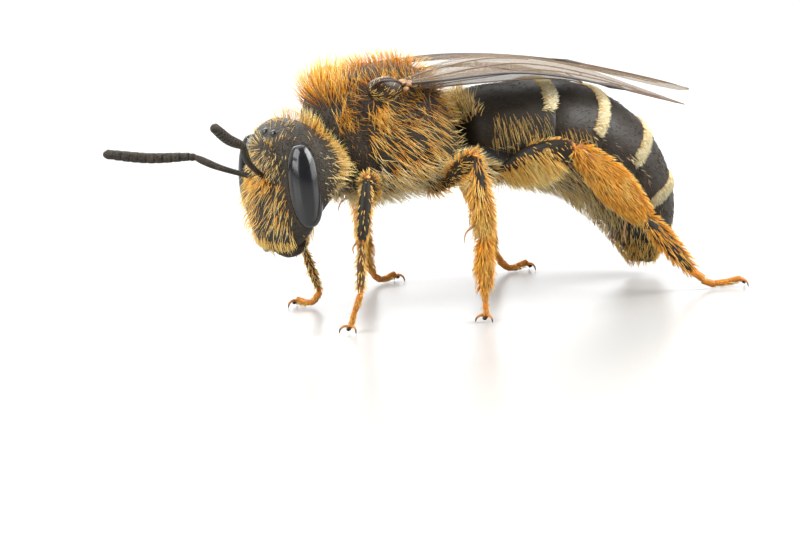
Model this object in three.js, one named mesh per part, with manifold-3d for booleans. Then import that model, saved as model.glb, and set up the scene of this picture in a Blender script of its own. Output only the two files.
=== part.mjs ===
// A female orange-legged furrow bee at life size, standing on its six feet with its wings folded.
//
// Millimetres, +Z up. The head points along -Y, +X is the bee's own left, and Z = 0 is the floor.
// Every solid is drawn to the tips of its hairs, so the bare shell lies inside it by the coat's depth.

import * as THREE from "three";
import { mergeVertices } from "three/addons/utils/BufferGeometryUtils.js";
import Module from "manifold-3d";

const wasm = await Module();
wasm.setup();
const { Manifold, Mesh: SolidMesh } = wasm;

const point = (p) => new THREE.Vector3(...p);

// ---------------------------------------------------------------- driving dimensions

const GAP = 0.04; // clearance left between neighbouring pieces
const ORIGIN = { left: -0.1, aft: 0.81 }; // centre of the floor area under the whole bee, in the drawing frame
const FINEST = 0.02; // details smaller than this are smoothed out of a solid
const THINNEST = 0.25; // least half thickness of a leg, feeler or wing piece

// Depth of the coat over the bare shell, part by part.
const COAT = {
  face: 0.23, nape: 0.12, crown: 0.2, cheek: 0.02,
  collar: 0.16, back: 0.38, flank: 0.26, chest: 0.28, neck: 0.24, belly: 0.42,
};
const FULLNESS = { head: 0.96, thorax: 0.92, wing: 0.6 }; // 1 is an ellipse, less is squarer

// Head, from the mouth up to the crown: [height, half width, face plane, nape plane].
const HEAD = [
  [1.6, 0.4, -2.94, -2.5],
  [1.82, 0.86, -3.07, -2.34],
  [2.11, 1.12, -3.15, -2.18],
  [2.52, 1.31, -3.2, -1.97],
  [2.98, 1.42, -3.2, -1.66],
  [3.34, 1.42, -3.14, -1.53],
  [3.66, 1.34, -3.08, -1.6],
  [3.96, 1.13, -2.96, -1.86],
  [4.17, 0.82, -2.76, -2.14],
  [4.28, 0.46, -2.6, -2.34],
];
// Each eye is an egg set into the side of the head, turned to look out and forwards.
const EYE = { left: 1.1, aft: -2.67, up: 3.05, across: 0.35, out: 0.37, tall: 0.87, heading: 44, lean: 4 };
const MANDIBLE = { hinge: [0.74, -2.6, 1.78], tip: [0.08, -2.98, 1.6], thickness: 0.17 };
const MOUTHPARTS = { root: [0, -2.12, 1.9], tip: [0, -2.56, 1.66], thickness: 0.2 };

// Feelers: the long first joint, then the whip of ten short ones.
const FEELERS = {
  left: { socket: [0.22, -3.26, 3.2], elbow: [0.82, -3.88, 3.97], tip: [2.2, -5.22, 4.66] },
  right: { socket: [-0.22, -3.34, 3.14], elbow: [-0.96, -4.12, 3.62], tip: [-2.58, -5.42, 3.66] },
};

// Middle body, from the collar back to the waist: [aft, half width, back height, chest height].
const THORAX = [
  [-1.84, 0.6, 4.62, 3.2],
  [-1.62, 0.92, 4.86, 2.86],
  [-1.2, 1.14, 5.06, 2.6],
  [-0.6, 1.28, 5.18, 2.48],
  [0.0, 1.31, 5.2, 2.48],
  [0.42, 1.22, 5.12, 2.54],
  [0.74, 1.05, 4.8, 2.62],
  [1.0, 0.86, 4.38, 2.74],
  [1.2, 0.62, 3.98, 2.94],
  [1.3, 0.36, 3.7, 3.16],
];
const COLLAR_END = -1.22; // where the collar meets the middle plates
const SHIELD = { from: 0.28, to: 0.72, floor: 4.5 }; // the small rear shield on the back
const TEGULA = { left: 1.38, aft: -0.84, up: 4.9, half: [0.28, 0.46, 0.32], pitch: -4, roll: 24 }; // wing scale

// Abdomen, from the waist to the sting: [aft, height, half width, upper half, lower half, tilt in degrees].
const ABDOMEN = [
  [1.42, 3.46, 0.34, 0.34, 0.32, 0],
  [1.64, 3.46, 0.9, 0.94, 0.34, 5],
  [2.5, 3.43, 1.32, 1.08, 0.82, 15],
  [3.56, 3.33, 1.5, 1.15, 1.1, 24],
  [4.46, 3.0, 1.5, 1.12, 1.1, 33],
  [5.18, 2.42, 1.38, 1.04, 1.0, 42],
  [5.66, 1.7, 1.12, 0.86, 0.84, 55],
  [5.88, 0.98, 0.82, 0.6, 0.66, 70],
  [5.84, 0.3, 0.34, 0.24, 0.26, 84],
];
const SEGMENT_ENDS = [2.5, 3.65, 4.8, 6, 7, 8]; // row of ABDOMEN where each of the six rings ends

// Wings, from the hinge to the tip: [aft, outer edge, inner edge, height].
const FOREWINGS = {
  left: [
    [-0.4, 1.38, 1.04, 4.9],
    [0.5, 1.52, 0.62, 4.92],
    [2.0, 1.54, 0.06, 4.88],
    [3.3, 1.44, -0.04, 4.68],
    [4.6, 1.22, -0.04, 4.34],
    [5.8, 0.9, 0.04, 3.93],
    [6.5, 0.66, 0.1, 3.68],
    [6.84, 0.52, 0.16, 3.56],
  ],
  right: [
    [-0.4, -1.38, -1.04, 4.9],
    [0.5, -1.52, -0.62, 5.0],
    [2.0, -1.52, -0.02, 5.04],
    [3.4, -1.34, -0.12, 4.92],
    [4.8, -1.0, -0.12, 4.62],
    [6.0, -0.66, -0.04, 4.26],
    [6.8, -0.3, 0.16, 3.98],
    [7.12, -0.04, 0.26, 3.86],
  ],
};
const HINDWING = [
  [0.1, 1.3, 0.9, 4.56],
  [1.2, 1.46, 0.6, 4.54],
  [2.4, 1.42, 0.4, 4.46],
  [3.4, 1.26, 0.5, 4.28],
  [4.1, 1.06, 0.66, 4.1],
];

// Legs: where each joint stands, from the hip down to the toe.
const LEGS = {
  left_front: {
    hip: [0.5, -1.0, 2.8], trochanter: [0.78, -0.98, 2.46], knee: [1.6, -1.5, 3.14],
    ankle: [1.75, -1.78, 1.83], heel: [1.88, -1.95, 0.79], toe: [1.7, -2.14, 0.14],
  },
  left_middle: {
    hip: [0.6, 0.4, 2.8], trochanter: [1.0, 0.66, 2.62], knee: [2.2, 0.76, 3.39],
    ankle: [2.5, 0.68, 1.75], heel: [2.66, 0.52, 0.71], toe: [2.66, 0.52, 0.14],
  },
  left_hind: {
    hip: [0.6, 0.95, 2.95], trochanter: [0.98, 1.9, 2.72], knee: [1.96, 3.24, 3.24],
    ankle: [2.35, 4.57, 1.66], heel: [2.6, 5.52, 0.42], toe: [2.94, 6.48, 0.15],
  },
  right_front: {
    hip: [-0.5, -1.0, 2.8], trochanter: [-0.78, -0.98, 2.46], knee: [-1.6, -1.44, 2.58],
    ankle: [-1.35, -1.55, 1.37], heel: [-1.4, -1.19, 0.34], toe: [-1.85, -1.5, 0.14],
  },
  right_middle: {
    hip: [-0.6, 0.4, 2.8], trochanter: [-1.0, 0.62, 2.62], knee: [-2.2, 0.4, 3.4],
    ankle: [-2.8, 0.58, 1.82], heel: [-3.0, 0.84, 0.42], toe: [-3.08, 1.5, 0.15],
  },
  right_hind: {
    hip: [-0.6, 0.95, 2.95], trochanter: [-0.98, 1.86, 2.72], knee: [-1.9, 2.68, 3.4],
    ankle: [-2.36, 3.24, 1.52], heel: [-2.32, 3.52, 0.5], toe: [-2.2, 4.26, 0.17],
  },
};

// Half width of each leg piece, hairs included, at its start, its middle and its end.
const LEG_SIZES = {
  front: {
    coxa: [0.34, 0.36, 0.28], femur: [0.26, 0.33, 0.26],
    tibia: [0.25, 0.27, 0.25], basitarsus: [0.25, 0.25, 0.25],
  },
  middle: {
    coxa: [0.36, 0.38, 0.3], femur: [0.28, 0.36, 0.27],
    tibia: [0.26, 0.31, 0.29], basitarsus: [0.27, 0.29, 0.25],
  },
  hind: {
    coxa: [0.38, 0.4, 0.32], femur: [0.36, 0.5, 0.36],
    tibia: [0.3, 0.56, 0.46], basitarsus: [0.32, 0.34, 0.28],
  },
};
const FLATTENING = { front: 1, middle: 0.92, hind: 0.6 }; // thickness of a leg piece over its width
const TURNED_SHIN = point([-0.4, 0.9, 0.2]); // the right hind leg's broad face is turned back
const FOOT = { ankle: 0.25, claws: 0.27 }; // half width of the foot at its start and across the claws

// ---------------------------------------------------------------- materials

const colours = {
  shell: ["#23201d", 0.5],
  fur: ["#a9752f", 0.85],
  eye: ["#17171a", 0.12],
  band: ["#2b2622", 0.42],
  wing: ["#8d7a63", 0.3],
  orange: ["#d98a2b", 0.8],
};
const material = Object.fromEntries(
  Object.entries(colours).map(([name, [color, roughness]]) => [
    name,
    new THREE.MeshStandardMaterial({ name, color, roughness, metalness: 0 }),
  ]),
);

// ---------------------------------------------------------------- shapes

const mirrored = ([left, aft, up]) => [-left, aft, up];

// Rows of numbers, read as smooth curves: row t runs from 0 to rows.length - 1.
function between(rows, t) {
  const i = Math.min(Math.floor(t), rows.length - 2);
  const at = (k) => rows[THREE.MathUtils.clamp(k, 0, rows.length - 1)];
  const u = t - i;
  return rows[0].map((_, c) => {
    const [p0, p1, p2, p3] = [at(i - 1)[c], at(i)[c], at(i + 1)[c], at(i + 2)[c]];
    const slope0 = (p2 - p0) / 2;
    const slope1 = (p3 - p1) / 2;
    return (
      p1 * (1 + 2 * u) * (1 - u) ** 2 + slope0 * u * (1 - u) ** 2 +
      p2 * u * u * (3 - 2 * u) + slope1 * u * u * (u - 1)
    );
  });
}

// A closed skin over a row of ovals. Each oval has a centre, an across and an upward direction,
// a half width, a half height above and below, and a power that squares it off (1 is an ellipse).
function loft(ovals, sides) {
  const positions = [];
  const faces = [];
  const squared = (v, power) => Math.sign(v) * Math.abs(v) ** power;
  for (const { centre, across, upward, half, above, below, power = 1 } of ovals) {
    for (let k = 0; k < sides; k++) {
      const angle = (2 * Math.PI * k) / sides;
      const [c, s] = [squared(Math.cos(angle), power), squared(Math.sin(angle), power)];
      const p = centre.clone().addScaledVector(across, c * half);
      p.addScaledVector(upward, s * (s > 0 ? above : below));
      positions.push(p.x, p.y, p.z);
    }
  }
  const first = ovals[0].centre;
  const last = ovals.at(-1).centre;
  positions.push(first.x, first.y, first.z, last.x, last.y, last.z);
  const firstCentre = ovals.length * sides;
  const lastRing = (ovals.length - 1) * sides;
  for (let k = 0; k < sides; k++) {
    const next = (k + 1) % sides;
    faces.push(firstCentre, next, k);
    faces.push(firstCentre + 1, lastRing + k, lastRing + next);
    for (let ring = 0; ring < lastRing; ring += sides) {
      faces.push(ring + k, ring + next, ring + sides + k);
      faces.push(ring + next, ring + sides + next, ring + sides + k);
    }
  }
  const geometry = new THREE.BufferGeometry();
  geometry.setAttribute("position", new THREE.Float32BufferAttribute(positions, 3));
  geometry.setIndex(faces);
  return geometry;
}

// A body region whose ovals stand upright, one behind another along Y.
function bodyRegion(rows, rings, sides, power) {
  const widest = 0.42; // height of the widest line, as a share of the whole height
  const ovals = [];
  for (let i = 0; i <= rings; i++) {
    const [aft, half, top, bottom] = between(rows, (i / rings) * (rows.length - 1));
    const middle = THREE.MathUtils.lerp(bottom, top, widest);
    ovals.push({
      centre: new THREE.Vector3(0, aft, middle),
      across: new THREE.Vector3(-1, 0, 0),
      upward: new THREE.Vector3(0, 0, 1),
      half, above: top - middle, below: middle - bottom, power,
    });
  }
  return loft(ovals, sides);
}

// A straight piece with round ends, such as a leg joint. sizes are half widths at its start, middle and end.
function limb(from, to, sizes, flattening = 1, flatSide = new THREE.Vector3(1, 0, 0), sides = 8, rings = 4) {
  const inset = 0.35; // the end rings stand this share of a step in from the tips
  const bluntness = 0.42; // 1 makes the ends round, less makes them blunter
  const [start, end] = [point(from), point(to)];
  const along = end.clone().sub(start);
  const length = along.length();
  along.normalize();
  const thin = flatSide.clone().addScaledVector(along, -flatSide.dot(along)).normalize();
  const wide = thin.clone().cross(along);
  const ovals = [];
  for (let i = 0; i <= rings; i++) {
    const angle = (Math.PI * (i + inset)) / (rings + 2 * inset);
    const share = (1 - Math.cos(angle)) / 2;
    const [size] = between(sizes.map((v) => [v]), share * (sizes.length - 1));
    const radius = size * Math.sin(angle) ** bluntness;
    const thickness = Math.max(radius * flattening, Math.min(radius, THINNEST));
    ovals.push({
      centre: start.clone().addScaledVector(along, share * length),
      across: wide, upward: thin, half: radius, above: thickness, below: thickness,
    });
  }
  return loft(ovals, sides);
}

function ellipsoid(centre, [x, y, z], turnX, turnY) {
  const geometry = new THREE.SphereGeometry(1, 12, 8);
  geometry.rotateX(Math.PI / 2).scale(x, y, z);
  geometry.rotateX(THREE.MathUtils.degToRad(turnX)).rotateY(THREE.MathUtils.degToRad(turnY));
  return geometry.translate(...centre);
}

// ---------------------------------------------------------------- solids

function solidFrom(geometry) {
  const bare = geometry.clone();
  bare.deleteAttribute("normal");
  bare.deleteAttribute("uv");
  const merged = mergeVertices(bare, 1e-5);
  const vertProperties = new Float32Array(merged.attributes.position.array);
  const triVerts = new Uint32Array(merged.index.array);
  return new Manifold(new SolidMesh({ numProp: 3, vertProperties, triVerts }));
}

function geometryFrom(solid) {
  const { vertProperties, triVerts, numProp } = solid.getMesh();
  const geometry = new THREE.BufferGeometry();
  const positions = [];
  for (let i = 0; i < vertProperties.length; i += numProp) positions.push(...vertProperties.subarray(i, i + 3));
  geometry.setAttribute("position", new THREE.Float32BufferAttribute(positions, 3));
  geometry.setIndex([...triVerts]);
  return geometry;
}

// The same shape with every point moved outwards by the clearance.
function grown(geometry, clearance) {
  const bare = geometry.clone();
  bare.deleteAttribute("normal");
  bare.deleteAttribute("uv");
  const merged = mergeVertices(bare, 1e-5);
  merged.computeVertexNormals();
  const { position, normal } = merged.attributes;
  for (let i = 0; i < position.count; i++) {
    position.setXYZ(
      i,
      position.getX(i) + normal.getX(i) * clearance,
      position.getY(i) + normal.getY(i) * clearance,
      position.getZ(i) + normal.getZ(i) * clearance,
    );
  }
  return merged;
}

function block(low, high) {
  const size = point(high).sub(point(low));
  const geometry = new THREE.BoxGeometry(size.x, size.y, size.z);
  return geometry.translate(...point(low).add(point(high)).multiplyScalar(0.5).toArray());
}

const FAR = 20; // reaches past the whole bee
const floor = block([-FAR, -FAR, -FAR], [FAR, FAR, 0]);
const largest = (solid) => solid.decompose().sort((a, b) => b.volume() - a.volume())[0];

const bee = new THREE.Group();
const placed = [];

// Adds a piece, cut back from the floor and from every piece already there.
function add(name, geometry, look) {
  let solid = solidFrom(geometry).subtract(solidFrom(floor));
  geometry.computeBoundingBox();
  for (const neighbour of placed) {
    if (neighbour.box.intersectsBox(geometry.boundingBox)) solid = solid.subtract(neighbour.cutter);
  }
  solid = largest(solid);
  if (!solid) throw new Error(`${name} is hidden inside its neighbours`);
  solid = largest(solid.simplify(FINEST));
  const mesh = new THREE.Mesh(geometryFrom(solid), look);
  mesh.name = name;
  bee.add(mesh);
  const wider = grown(geometry, GAP);
  wider.computeBoundingBox();
  placed.push({ cutter: solidFrom(wider), box: wider.boundingBox });
}

// The part of a shape that lies inside a block.
const within = (geometry, low, high) =>
  geometryFrom(solidFrom(geometry).intersect(solidFrom(block(low, high))));

// ---------------------------------------------------------------- head

function headShape() {
  const rings = 10;
  const ovals = [];
  for (let i = 0; i <= rings; i++) {
    const t = i / rings;
    const [up, half, face, nape] = between(HEAD, t * (HEAD.length - 1));
    const middle = (face + nape) / 2;
    const crown = COAT.crown * THREE.MathUtils.smoothstep(t, 0.7, 1); // only the top rows rise
    ovals.push({
      centre: new THREE.Vector3(0, middle, up + crown),
      across: new THREE.Vector3(-1, 0, 0),
      upward: new THREE.Vector3(0, -1, 0),
      half: half + COAT.cheek,
      above: middle - face + COAT.face,
      below: nape - middle + COAT.nape,
      power: FULLNESS.head,
    });
  }
  return loft(ovals, 16);
}

function eye(side) {
  const { left, aft, up, across, out, tall, heading, lean } = EYE;
  const geometry = new THREE.SphereGeometry(1, 12, 10).rotateX(Math.PI / 2).scale(out, across, tall);
  geometry.rotateX(THREE.MathUtils.degToRad(lean));
  geometry.rotateZ(THREE.MathUtils.degToRad(side > 0 ? -heading : heading - 180));
  return geometry.translate(side * left, aft, up);
}

function addHead() {
  add("eye_left", eye(1), material.eye);
  add("eye_right", eye(-1), material.eye);
  add("head", headShape(), material.fur);
  for (const [side, turn] of [["left", (p) => p], ["right", mirrored]]) {
    const { hinge, tip, thickness } = MANDIBLE;
    const jaw = limb(turn(hinge), turn(tip), [thickness, thickness, thickness * 0.9]);
    add(`mandible_${side}`, jaw, material.shell);
  }
  const { root, tip, thickness } = MOUTHPARTS;
  add("mouthparts", limb(root, tip, [thickness, thickness * 1.1, thickness]), material.shell);
  for (const [side, { socket, elbow, tip: end }] of Object.entries(FEELERS)) {
    add(`antenna_scape_${side}`, limb(socket, elbow, [THINNEST, THINNEST, THINNEST]), material.shell);
    add(`antenna_flagellum_${side}`, limb(elbow, end, [THINNEST, THINNEST, THINNEST]), material.shell);
  }
}

// ---------------------------------------------------------------- middle body

function addThorax() {
  const coated = THORAX.map(([aft, half, top, bottom], i) => {
    const depth = i === THORAX.length - 1 ? 0.5 : 1; // the coat is thinner at the waist
    const ruff = COAT.collar * THREE.MathUtils.smoothstep(-aft, 1, 1.7); // and fuller on the collar
    return [aft, half + COAT.flank * depth, top + COAT.back * depth + ruff, bottom - COAT.chest * depth];
  });
  coated[0][0] -= COAT.neck;
  const whole = bodyRegion(coated, 12, 20, FULLNESS.thorax);
  const slice = (from, to, low = -FAR) => within(whole, [-FAR, from, low], [FAR, to, FAR]);
  for (const [side, sign] of [["left", 1], ["right", -1]]) {
    const { left, aft, up, half, pitch, roll } = TEGULA;
    add(`tegula_${side}`, ellipsoid([sign * left, aft, up], half, pitch, sign * roll), material.shell);
  }
  const { from, to, floor: shieldFloor } = SHIELD;
  add("scutellum", slice(from, to, shieldFloor), material.fur);
  add("pronotum", slice(-FAR, COLLAR_END - GAP), material.fur);
  add("mesothorax", slice(COLLAR_END, to), material.fur);
  add("propodeum", slice(to + GAP, FAR), material.fur);
}

// ---------------------------------------------------------------- abdomen

function abdomenOval(t, step = 0) {
  const [aft, up, half, above, below, tilt] = between(ABDOMEN, t);
  const lean = THREE.MathUtils.degToRad(tilt);
  const thickness = COAT.belly * THREE.MathUtils.smoothstep(t, 1, 3);
  return {
    centre: new THREE.Vector3(0, aft, up),
    across: new THREE.Vector3(-1, 0, 0),
    upward: new THREE.Vector3(0, Math.sin(lean), Math.cos(lean)),
    half: half - step, above: above - step, below: below - step + thickness * Math.min(1, 1.2 * below),
  };
}

function addAbdomen() {
  const rimStep = 0.05; // how far each ring's front edge tucks under the ring before it
  let start = 0;
  SEGMENT_ENDS.forEach((end, i) => {
    const rings = i === 0 ? 6 : 3;
    const begin = start + (i === 0 ? 0 : GAP);
    const ovals = [];
    for (let k = 0; k <= rings; k++) {
      const share = k / rings;
      ovals.push(abdomenOval(begin + (end - begin) * share, i === 0 ? 0 : rimStep * (1 - share) ** 2));
    }
    add(`abdomen_segment_${i + 1}`, loft(ovals, 18), material.band);
    start = end;
  });
}

// ---------------------------------------------------------------- wings

function wing(rows, rings, side = 1) {
  const ovals = [];
  for (let i = 0; i <= rings; i++) {
    const [aft, outer, inner, up] = between(rows, (i / rings) * (rows.length - 1));
    ovals.push({
      centre: new THREE.Vector3((side * (outer + inner)) / 2, aft, up),
      across: new THREE.Vector3(-1, 0, 0),
      upward: new THREE.Vector3(0, 0, 1),
      half: Math.abs(outer - inner) / 2, above: THINNEST, below: THINNEST, power: FULLNESS.wing,
    });
  }
  return loft(ovals, 8);
}

function addWings() {
  for (const [side, rows] of Object.entries(FOREWINGS)) add(`forewing_${side}`, wing(rows, 9), material.wing);
  for (const [side, sign] of [["left", 1], ["right", -1]]) {
    add(`hindwing_${side}`, wing(HINDWING, 5, sign), material.wing);
  }
}

// ---------------------------------------------------------------- legs

// The hip joint sits up in the chest's coat, so it is placed before the middle body, which is cut round it.
function addHip(name, { hip, trochanter }) {
  const [, pair] = name.split("_");
  add(`${name}_coxa`, limb(hip, trochanter, LEG_SIZES[pair].coxa, 1, undefined, 6, 3), material.shell);
}

function addLeg(name, { trochanter, knee, ankle, heel, toe }) {
  const [side, pair] = name.split("_");
  const size = LEG_SIZES[pair];
  const flat = FLATTENING[pair];
  const outward = name === "right_hind" ? TURNED_SHIN : point([side === "left" ? 1 : -1, 0, 0.25]);
  add(`${name}_femur`, limb(trochanter, knee, size.femur, Math.min(1, flat + 0.1), outward), material.fur);
  add(`${name}_tibia`, limb(knee, ankle, size.tibia, flat, outward), material.orange);
  add(`${name}_basitarsus`, limb(ankle, heel, size.basitarsus, flat, outward), material.orange);
  const middle = (FOOT.ankle + FOOT.claws) / 2;
  add(`${name}_foot`, limb(heel, toe, [FOOT.ankle, middle, FOOT.claws]), material.orange);
}

addHead();
for (const [name, joints] of Object.entries(LEGS)) addHip(name, joints);
addThorax();
addAbdomen();
for (const [name, joints] of Object.entries(LEGS)) addLeg(name, joints);
addWings();

bee.position.set(-ORIGIN.left, -ORIGIN.aft, 0);

export default bee;
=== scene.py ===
"""A female orange-legged furrow bee at life size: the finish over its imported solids.

Run as a script, or read as an add-on whose panel lists one operator for each group of pieces.
Sizes are millimetres in the bee's drawing frame: +X the bee's left, +Y aft, +Z up, Z = 0 the floor.
"""

import math

import bmesh
import bpy
import numpy as np
from bpy.props import FloatProperty, FloatVectorProperty, IntProperty, PointerProperty
from mathutils import Matrix, Vector


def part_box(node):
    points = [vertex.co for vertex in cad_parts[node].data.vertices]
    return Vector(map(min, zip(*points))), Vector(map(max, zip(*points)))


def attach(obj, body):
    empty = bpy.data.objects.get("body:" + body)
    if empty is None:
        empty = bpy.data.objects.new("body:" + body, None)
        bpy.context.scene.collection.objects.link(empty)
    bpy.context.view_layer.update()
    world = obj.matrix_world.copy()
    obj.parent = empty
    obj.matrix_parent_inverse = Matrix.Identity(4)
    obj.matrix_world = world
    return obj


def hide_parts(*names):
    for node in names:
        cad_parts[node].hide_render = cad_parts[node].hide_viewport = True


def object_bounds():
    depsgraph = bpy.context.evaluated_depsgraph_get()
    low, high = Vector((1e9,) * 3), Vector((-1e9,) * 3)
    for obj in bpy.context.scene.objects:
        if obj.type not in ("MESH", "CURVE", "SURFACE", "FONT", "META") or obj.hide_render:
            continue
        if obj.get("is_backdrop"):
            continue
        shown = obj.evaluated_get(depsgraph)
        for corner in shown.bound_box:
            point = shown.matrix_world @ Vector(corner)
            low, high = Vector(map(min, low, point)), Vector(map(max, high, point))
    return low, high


bl_info = {
    "name": "Furrow bee",
    "version": (1, 0, 0),
    "blender": (4, 5, 0),
    "location": "3D View > Sidebar > Bee",
    "description": "Skin, coat, wings, legs and studio for a life-size standing bee",
    "category": "Object",
}

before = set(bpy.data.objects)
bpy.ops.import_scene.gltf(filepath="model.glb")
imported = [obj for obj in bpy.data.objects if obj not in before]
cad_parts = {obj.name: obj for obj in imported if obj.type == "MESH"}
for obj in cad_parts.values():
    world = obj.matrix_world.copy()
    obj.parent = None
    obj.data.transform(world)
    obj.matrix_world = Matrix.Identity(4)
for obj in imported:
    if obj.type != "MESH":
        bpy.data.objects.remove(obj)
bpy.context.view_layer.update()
MM = 0.001  # a millimetre in metres

# ---------------------------------------------------------------- the drawing frame

COLLAR_END = -1.22  # aft place of the middle plates' front edge in the drawing frame
middle_low, middle_high = (np.array(corner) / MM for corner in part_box("mesothorax"))
SHIFT = np.array([(middle_low[0] + middle_high[0]) / 2, middle_low[1] - COLLAR_END, 0.0])

# ---------------------------------------------------------------- the bare shell, without its coat

# Head, from the mouth up to the crown: [height, half width, face plane, nape plane].
HEAD = [
    [1.56, 0.05, -2.76, -2.66], [1.6, 0.4, -2.94, -2.5], [1.82, 0.84, -3.07, -2.46],
    [2.11, 1.12, -3.15, -2.28], [2.52, 1.31, -3.2, -2.05], [2.98, 1.42, -3.2, -1.72],
    [3.34, 1.42, -3.14, -1.53], [3.66, 1.34, -3.08, -1.6], [3.96, 1.13, -2.96, -1.86],
    [4.17, 0.82, -2.76, -2.14], [4.28, 0.46, -2.6, -2.34], [4.31, 0.05, -2.5, -2.44],
]
# Middle body, from the collar back to the waist: [aft, half width, back height, chest height].
THORAX = [
    [-1.9, 0.05, 4.0, 3.9], [-1.84, 0.6, 4.62, 3.2], [-1.62, 0.92, 4.86, 2.86], [-1.2, 1.14, 5.06, 2.6],
    [-0.6, 1.28, 5.18, 2.48], [0.0, 1.31, 5.2, 2.48], [0.42, 1.22, 5.12, 2.54], [0.74, 1.05, 4.8, 2.62],
    [1.0, 0.86, 4.38, 2.74], [1.2, 0.62, 3.98, 2.94], [1.3, 0.36, 3.7, 3.16], [1.33, 0.05, 3.46, 3.4],
]
# Abdomen, from the waist to the sting: [aft, height, half width, upper half, lower half, tilt in degrees].
ABDOMEN = [
    [1.36, 3.46, 0.3, 0.3, 0.28, 0], [1.64, 3.46, 0.88, 0.92, 0.32, 5], [2.5, 3.43, 1.3, 1.07, 0.8, 15],
    [3.56, 3.33, 1.5, 1.15, 1.1, 24], [4.46, 3.0, 1.5, 1.12, 1.1, 33], [5.18, 2.42, 1.38, 1.04, 1.0, 42],
    [5.66, 1.7, 1.12, 0.86, 0.84, 55], [5.88, 0.98, 0.82, 0.6, 0.66, 70], [5.84, 0.3, 0.34, 0.24, 0.26, 84],
]
RING_ENDS = [0, 2.48, 3.6, 4.8, 6, 7, 8]  # rows of ABDOMEN between which each of the six rings lies
WAIST = {"from": [0, 1.0, 3.46], "to": [0, 1.7, 3.46], "half": 0.27}
NECK = {"from": [0, -2.2, 3.2], "to": [0, -1.5, 3.6], "half": 0.55}

EYE = {"centre": [1.1, -2.67, 3.05], "half": [0.37, 0.35, 0.87], "heading": 44, "lean": 4}
OCELLI = {"median": [0.0, -2.95, 3.885], "side": [0.19, -2.84, 4.045], "half": 0.09}
MANDIBLE = [[0.72, -2.54, 1.86], [0.68, -2.7, 1.68], [0.5, -2.84, 1.58], [0.2, -2.94, 1.6]]
MOUTHPARTS = [[0, -2.14, 1.94], [0, -2.36, 1.8], [0, -2.6, 1.7]]

# Feelers: socket, elbow and tip, and how far the long first joint bows forward.
FEELERS = {
    "left": {"socket": [0.22, -3.2, 3.22], "elbow": [0.84, -3.9, 3.98], "tip": [2.16, -5.18, 4.64], "bow": 0.1},
    "right": {"socket": [-0.22, -3.2, 3.16], "elbow": [-0.96, -4.12, 3.6], "tip": [-2.54, -5.38, 3.64], "bow": 0.1},
}
TEGULA = {"centre": [1.24, -0.79, 4.85], "half": [0.24, 0.41, 0.26], "pitch": -4, "roll": 30}

# Wings, from the hinge to the tip: [aft, outer edge, inner edge, outer height, inner height].
FOREWINGS = {
    "left": [
        [-0.4, 1.38, 1.04, 4.9, 4.93], [0.5, 1.52, 0.62, 4.9, 5.08], [2.0, 1.54, 0.06, 4.88, 5.12],
        [3.3, 1.44, -0.04, 4.65, 4.94], [4.6, 1.22, -0.04, 4.27, 4.56], [5.8, 0.9, 0.04, 3.88, 4.05],
        [6.5, 0.66, 0.1, 3.66, 3.74], [6.84, 0.52, 0.16, 3.55, 3.58],
    ],
    "right": [
        [-0.4, -1.38, -1.04, 4.9, 4.93], [0.5, -1.52, -0.62, 4.98, 5.06], [2.0, -1.52, -0.02, 4.98, 5.06],
        [3.4, -1.34, -0.12, 4.84, 4.9], [4.8, -1.0, -0.12, 4.58, 4.5], [6.0, -0.66, -0.04, 4.24, 4.1],
        [6.8, -0.3, 0.16, 3.98, 3.86], [7.12, -0.04, 0.26, 3.86, 3.82],
    ],
}
HINDWING = [
    [0.1, 1.34, 0.9, 4.76, 4.8], [1.2, 1.48, 0.6, 4.75, 4.9], [2.4, 1.44, 0.4, 4.7, 4.88],
    [3.4, 1.24, 0.5, 4.56, 4.7], [4.1, 1.04, 0.66, 4.36, 4.44],
]

# Legs: where each joint stands, from the hip down to the toe.
LEGS = {
    "left_front": [[0.5, -1.0, 2.8], [0.78, -0.98, 2.46], [1.6, -1.5, 3.14], [1.75, -1.78, 1.83],
                   [1.88, -1.95, 0.79], [1.7, -2.14, 0.14]],
    "left_middle": [[0.6, 0.4, 2.8], [1.0, 0.66, 2.62], [2.2, 0.76, 3.39], [2.5, 0.68, 1.75],
                    [2.66, 0.52, 0.71], [2.66, 0.52, 0.14]],
    "left_hind": [[0.6, 0.95, 2.95], [0.98, 1.9, 2.72], [1.96, 3.24, 3.24], [2.35, 4.57, 1.66],
                  [2.6, 5.52, 0.42], [2.94, 6.48, 0.15]],
    "right_front": [[-0.5, -1.0, 2.8], [-0.78, -0.98, 2.46], [-1.6, -1.44, 2.58], [-1.35, -1.55, 1.37],
                    [-1.4, -1.19, 0.34], [-1.85, -1.5, 0.14]],
    "right_middle": [[-0.6, 0.4, 2.8], [-1.0, 0.62, 2.62], [-2.2, 0.4, 3.4], [-2.8, 0.58, 1.82],
                     [-3.0, 0.84, 0.42], [-3.08, 1.5, 0.15]],
    "right_hind": [[-0.6, 0.95, 2.95], [-0.98, 1.86, 2.72], [-1.9, 2.68, 3.4], [-2.36, 3.24, 1.52],
                   [-2.32, 3.52, 0.5], [-2.2, 4.26, 0.17]],
}
JOINTS = ["coxa", "femur", "tibia", "basitarsus"]
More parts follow.
